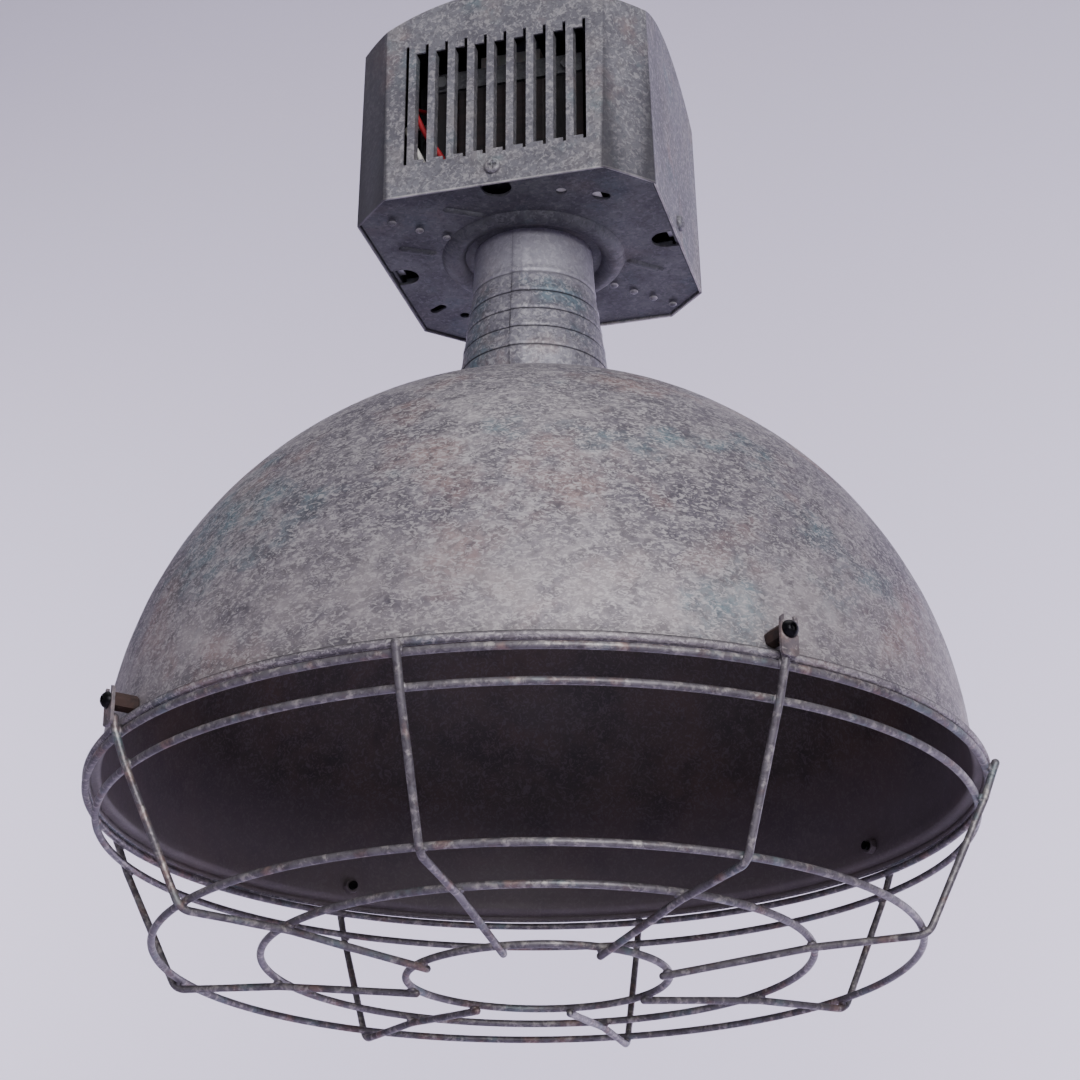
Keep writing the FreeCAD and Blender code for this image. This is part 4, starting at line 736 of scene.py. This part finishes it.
class LAMP_OT_neck(bpy.types.Operator):
    """Rolls the neck: a tapered sleeve with five grooves and a lap seam"""
    bl_idname = "pendant_lamp.neck"
    bl_label = "Neck sleeve"

    def execute(self, context):
        settings = context.scene.pendant_lamp.gear_box
        columns = 180
        foot = SHELL_CENTRE + np.sqrt(SHELL ** 2 - NECK_FOOT ** 2) + 0.2
        flange = PLATE_TOP + SHEET
        height = np.linspace(PLATE_TOP, foot, 130)[:, None]
        radius = np.interp(height, [foot, 252.0, GROOVES[-1], GROOVES[0], PLATE_TOP],
                           [41.5, 42.9, 42.9, 36.2, 34.6])
        for groove in GROOVES:
            radius = radius - settings.groove * MM * np.exp(-((height - groove) / 0.5) ** 2)
            radius = radius + 0.35 * np.exp(-((height - groove - 2.2) / 1.6) ** 2)
        seam, width, slope = -4.4, 14, 4
        turn = (np.degrees(angles(columns)) - seam + 180) % 360 - 180
        fade = 1 - np.clip(turn - width + slope, 0, slope) / slope
        lap = settings.lap * MM * ((turn > 0) & (turn < width)) * fade
        inner_radius, inner_level = spread(
            [(NECK_HOLE, foot), (40.8, GROOVES[-1]), (34.1, GROOVES[0]), (33.2, flange), (44.8, flange),
             (44.8, PLATE_TOP)], columns)
        radius = np.concatenate([radius + lap, inner_radius])
        level = np.concatenate([height + np.zeros(columns), inner_level])
        build("neck_rolled", [shaped(radius, level)], ["neck"], "fixture", ["neck_sleeve"],
              looped=True, sharp=40)
        coat("galvanised", "neck_ring")
        return {"FINISHED"}


class LAMP_OT_screws(bpy.types.Operator):
    """Turns the cross-recess screws of the cover and the crown, with their nuts"""
    bl_idname = "pendant_lamp.screws"
    bl_label = "Cross-recess screws"

    def execute(self, context):
        cover_screw = pan_screw(4.7, 3.0, M5, 9)
        reach = BOX_HALF - BOX_LEAN * (COVER_SCREW_HEIGHT - BOX_BOTTOM) + 0.15
        grids = [placed(cover_screw, outward(angle) * reach + (0, 0, COVER_SCREW_HEIGHT), outward(angle))
                 for angle in QUARTER_TURNS]
        build("cover_screws_turned", grids, ["cover"], "fixture", ["cover_screws"])
        lean = np.arcsin(CROWN_BOLT_CIRCLE / SHELL)
        crown_screw = pan_screw(4.6, 2.6, M5, 12)
        screws, nuts = [], []
        for angle in DIAGONALS:
            axis = outward(angle) * np.sin(lean) + (0, 0, np.cos(lean))
            seat = np.array([0, 0, SHELL_CENTRE]) + axis * SHELL
            screws.append(placed(crown_screw, seat + axis * 0.1, axis))
            nuts.append(placed(nut(*M5_NUT), seat - axis * (SHEET + 2.1), -axis))
        build("crown_screws_turned", screws, ["zinc"], "fixture", ["reflector_bolts"])
        build("crown_nuts_turned", nuts, ["zinc"], "fixture", ["reflector_bolts"], looped=True)
        coat("zinc", "cover_nuts")
        return {"FINISHED"}


class LAMP_OT_gear_box(bpy.types.Operator):
    """Finishes the folded cover, the base plate and the rivets"""
    bl_idname = "pendant_lamp.gear_box"
    bl_label = "Gear box"

    def execute(self, context):
        coat("cover", "gear_cover", "plate_rivets")
        coat("plate", "base_plate")
        return {"FINISHED"}


class LAMP_OT_suspension(bpy.types.Operator):
    """Finishes the strap, stem, nuts, eye and cable gland"""
    bl_idname = "pendant_lamp.suspension"
    bl_label = "Suspension"

    def execute(self, context):
        big_nut = nut(24, 9.5, 8.0)
        grids = [placed(big_nut, (0, 0, height), (0, 0, 1)) for height in HANGER_NUT_HEIGHTS]
        build("hanger_nuts_forged", grids, ["galvanised"], "fixture", ["hanger_nuts"],
              looped=True)
        coat("galvanised", "carrier_strap", "hanger_stem", "hanger_washer", "hanger_eye", "stem_spacer")
        coat("gland", "cable_gland", "gland_cap", "gland_lock_nut")
        coat("seal", "gland_seal")
        return {"FINISHED"}


class LAMP_OT_control_gear(bpy.types.Operator):
    """Finishes the ballast, capacitor, igniter, terminals and leads"""
    bl_idname = "pendant_lamp.control_gear"
    bl_label = "Control gear"

    def execute(self, context):
        coat("laminations", "ballast_core")
        coat("winding", "ballast_coil")
        # The clamps take the plate's finish, whose dark grey is painted shade, so they sit dim inside the box.
        coat("plate", "ballast_clamps")
        coat("can", "capacitor")
        coat("igniter", "igniter")
        coat("terminal", "terminal_block")
        coat("brass", "terminal_screws")
        coat("red_lead", "wire_red")
        coat("white_lead", "wire_white")
        coat("zinc", "ballast_bolts", "ballast_fixings", "ballast_spacers", "capacitor_clip")
        return {"FINISHED"}


class LAMP_OT_insulating_card(bpy.types.Operator):
    """Lays a pale fibre card on the plate, where it shows through two of the spare holes"""
    bl_idname = "pendant_lamp.insulating_card"
    bl_label = "Insulating card"

    def execute(self, context):
        corners = [(28, -74, 0), (47, -74, 0), (54.6, -60.5, 0), (54.6, -48, 0), (28, -48, 0), (28, -74, 0)]
        rim = evened(np.array(corners, float), 1.5)[:-1]
        middle = rim.mean(axis=0)
        under, over = PLATE_TOP + 0.2, PLATE_TOP + 0.6
        grid = middle + (rim - middle) * np.array([0.5, 1, 1, 0.5])[:, None, None]
        grid[..., 2] = 0.1 * np.sin(grid[..., 0] / 5.0) * np.sin(grid[..., 1] / 7.0)
        grid[..., 2] += np.array([[under], [under], [over], [over]])
        build("insulating_card", [grid], ["card"], "fixture")
        return {"FINISHED"}


def glass_outline(shrink):
    """Round tip, straight wall and a neck drawn in by half a cosine wave, each inset by an amount."""
    radius, tip_centre, neck = 23.0 - shrink, 135.0, 15.5
    top = 271.9 - shrink
    tip = arc(radius, np.linspace(-np.pi / 2, 0, 24)[1:], (0, tip_centre))
    share = np.linspace(0, 1, 14)[:, None]
    draw = (23.0 - neck) * (1 - np.cos(np.pi * share)) / 2
    return np.concatenate([tip, np.concatenate([radius - draw, 236 + 24 * share], axis=1),
                           [[neck - shrink, top], [1.0, top]]])


def cap_grid(depth, pitch):
    """Screw cap: its radius falls and rises with height as a cosine that climbs one pitch in each turn."""
    columns, low, high = 96, 272.0, 296.0
    height = np.linspace(low, high, 120)[:, None]
    fade = np.clip((height - low) / 3, 0, 1) * np.clip((high - height) / 3, 0, 1)
    climb = height / pitch - angles(columns) / (2 * np.pi)
    thread = 19.55 - depth * fade * (0.5 - 0.5 * np.cos(2 * np.pi * climb))
    foot = spread([(15.65, 264.1), (18.0, 264.1), (19.4, 268.0)], columns)
    crown = spread([(19.0, 297.0), (9.0, 301.9), (1.0, 301.9)], columns)
    inner = spread([(1.0, 300.2), (8.0, 300.2), (17.4, 294.4), (17.4, 274.0), (15.65, 272.2)], columns)
    parts = (foot, (thread, height + np.zeros(columns)), crown, inner)
    return shaped(*[np.concatenate([part[which] for part in parts]) for which in (0, 1)])


class LAMP_OT_lamp(bpy.types.Operator):
    """Blows the lamp's glass, rolls its screw cap and finishes the lampholder"""
    bl_idname = "pendant_lamp.lamp"
    bl_label = "Lamp and holder"

    def execute(self, context):
        settings = context.scene.pendant_lamp.lamp
        glass = [shaped(*spread(glass_outline(shrink), 72)) for shrink in (0.0, 1.0)]
        build("lamp_glass_blown", glass, ["glass"], "lamp", ["lamp_glass"], sharp=60,
              hollow=(1,))
        build("lamp_cap_rolled", [cap_grid(settings.thread * MM, settings.pitch * MM)], ["lamp_cap"], "lamp",
              ["lamp_cap"], looped=True)
        coat("quartz", "arc_tube")
        coat("nickel", "arc_tube_frame")
        coat("porcelain", "lampholder_body")
        coat("brass", "lamp_contact", "lampholder_contact", "lampholder_shell")
        coat("zinc", "lampholder_bracket", "lampholder_screws")
        return {"FINISHED"}


def backdrop_line():
    """Section of the backdrop, as distance back and height: a floor, a quarter circle and a wall."""
    front, back, floor, top, bend = -14000.0, 3800.0, -2150.0, 7000.0, 900.0
    corner = arc(bend, np.linspace(-np.pi / 2, 0, 16), (back - bend, floor + bend))
    return np.concatenate([[[front, floor]], corner, [[back, top]]])


def add_backdrop(colour):
    """A sheet of paper that follows the backdrop's section from side to side."""
    half = 14000.0
    line = backdrop_line()
    sheet = np.stack(np.broadcast_arrays([-half, half], line[:, :1], line[:, 1:]), axis=-1)
    points = sheet.reshape(-1, 3) - (0, 0, RIM_DROP)
    first = np.arange(len(line) - 1) * 2
    faces = np.stack([first, first + 1, first + 3, first + 2], axis=1)
    mesh = bpy.data.meshes.new("backdrop")
    mesh.from_pydata((points / MM).tolist(), [], faces.tolist())
    mesh.polygons.foreach_set("use_smooth", np.ones(len(faces), bool))
    mesh.materials.append(finish("paper_backdrop", colour, roughness=(0.85, 0.95), grain=(4, 0.02)))
    backdrop = bpy.data.objects.new("backdrop", mesh)
    bpy.context.scene.collection.objects.link(backdrop)


def add_soft_light(name, power, size, place, target):
    """A square soft light at a place, in metres, that looks at a target."""
    light = bpy.data.lights.new(name, "AREA")
    light.energy = power
    light.size = size
    lamp = bpy.data.objects.new(name, light)
    lamp.location = place
    lamp.rotation_euler = (Vector(target) - Vector(place)).to_track_quat("-Z", "Y").to_euler()
    bpy.context.scene.collection.objects.link(lamp)


def add_camera(lens):
    """The camera, below the lamp and a little to its right, looking up at it."""
    data = bpy.data.cameras.new("camera")
    data.lens = lens
    data.sensor_width = 36.0
    data.shift_x, data.shift_y = 0.0042, -0.0005
    camera = bpy.data.objects.new("camera", data)
    camera.location = (0.3251, -1.2100, -0.9379)
    ahead, up = Vector((-0.23685, 0.88151, 0.40846)), Vector((0.1118, -0.3929, 0.9128))
    side = ahead.cross(up)
    turn = np.array([side, side.cross(ahead), -ahead]).T
    camera.rotation_euler = Matrix(turn.tolist()).to_euler()
    bpy.context.scene.collection.objects.link(camera)
    bpy.context.scene.camera = camera


class LAMP_OT_stage(bpy.types.Operator):
    """Sets the pale floor and backdrop, five soft lights and the camera"""
    bl_idname = "pendant_lamp.stage"
    bl_label = "Stage"

    def execute(self, context):
        settings = context.scene.pendant_lamp.stage
        add_backdrop(settings.backdrop)
        lamp = (0, 0, -0.3)
        lights = (("soft_main", settings.key, 2.2, (1.9, -3.2, 0.05), (0, 0, -0.35)),
                  ("soft_fill", settings.fill, 2.5, (-3.0, -2.2, 0.2), lamp),
                  ("soft_top", settings.top, 2.5, (0.3, -0.6, 2.6), lamp),
                  ("wall_right", settings.wall, 2.4, (2.5, 1.8, -0.4), (1.3, 3.8, 0.1)),
                  ("wall_left", settings.wall * 0.42, 2.4, (-3.0, 1.8, 0.5), (-1.6, 3.8, 1.3)))
        for light in lights:
            add_soft_light(*light)
        world = bpy.data.worlds.new("soft_sky")
        world.use_nodes = True
        sky = world.node_tree.nodes["Background"]
        sky.inputs["Color"].default_value = linear("cfccd8")
        sky.inputs["Strength"].default_value = 0.36
        context.scene.world = world
        add_camera(settings.lens)
        return {"FINISHED"}


class LampSceneSettings(bpy.types.PropertyGroup):
    """All the settings, group by group"""
    finishes: PointerProperty(type=FinishSettings, name="Finishes", description="The main colours")
    reflector: PointerProperty(type=ReflectorSettings, name="Reflector", description="The spun reflector")
    guard: PointerProperty(type=GuardSettings, name="Guard", description="The welded wire guard")
    gear_box: PointerProperty(type=GearBoxSettings, name="Gear box", description="The neck and the gear box")
    lamp: PointerProperty(type=LampSettings, name="Lamp", description="The lamp and its cap")
    stage: PointerProperty(type=StageSettings, name="Stage", description="Backdrop, lights and camera")


STEPS = (LAMP_OT_stage, LAMP_OT_finishes, LAMP_OT_reflector, LAMP_OT_guard_rings, LAMP_OT_guard_ribs,
         LAMP_OT_guard_fixings, LAMP_OT_neck, LAMP_OT_screws, LAMP_OT_gear_box, LAMP_OT_suspension,
         LAMP_OT_control_gear, LAMP_OT_insulating_card, LAMP_OT_lamp)


class LAMP_PT_panel(bpy.types.Panel):
    """Lists the lamp's settings and steps"""
    bl_idname = "LAMP_PT_panel"
    bl_label = "Pendant lamp"
    bl_space_type = "VIEW_3D"
    bl_region_type = "UI"
    bl_category = "Pendant lamp"

    def draw(self, context):
        for group in LampSceneSettings.__annotations__:
            settings = getattr(context.scene.pendant_lamp, group)
            column = self.layout.column(heading=group)
            for name in settings.__annotations__:
                column.prop(settings, name)
        for step in STEPS:
            self.layout.operator(step.bl_idname)


CLASSES = (FinishSettings, ReflectorSettings, GuardSettings, GearBoxSettings, LampSettings, StageSettings,
           LampSceneSettings, *STEPS, LAMP_PT_panel)


def register():
    """Registers the add-on and hangs its settings on the scene."""
    for item in CLASSES:
        bpy.utils.register_class(item)
    bpy.types.Scene.pendant_lamp = PointerProperty(type=LampSceneSettings)


def unregister():
    """Takes the add-on away again."""
    del bpy.types.Scene.pendant_lamp
    for item in reversed(CLASSES):
        bpy.utils.unregister_class(item)


def main():
    """Runs every step."""
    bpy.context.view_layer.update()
    register()
    for step in STEPS:
        group, name = step.bl_idname.split(".")
        getattr(getattr(bpy.ops, group), name)()


if __name__ == "__main__":
    main()
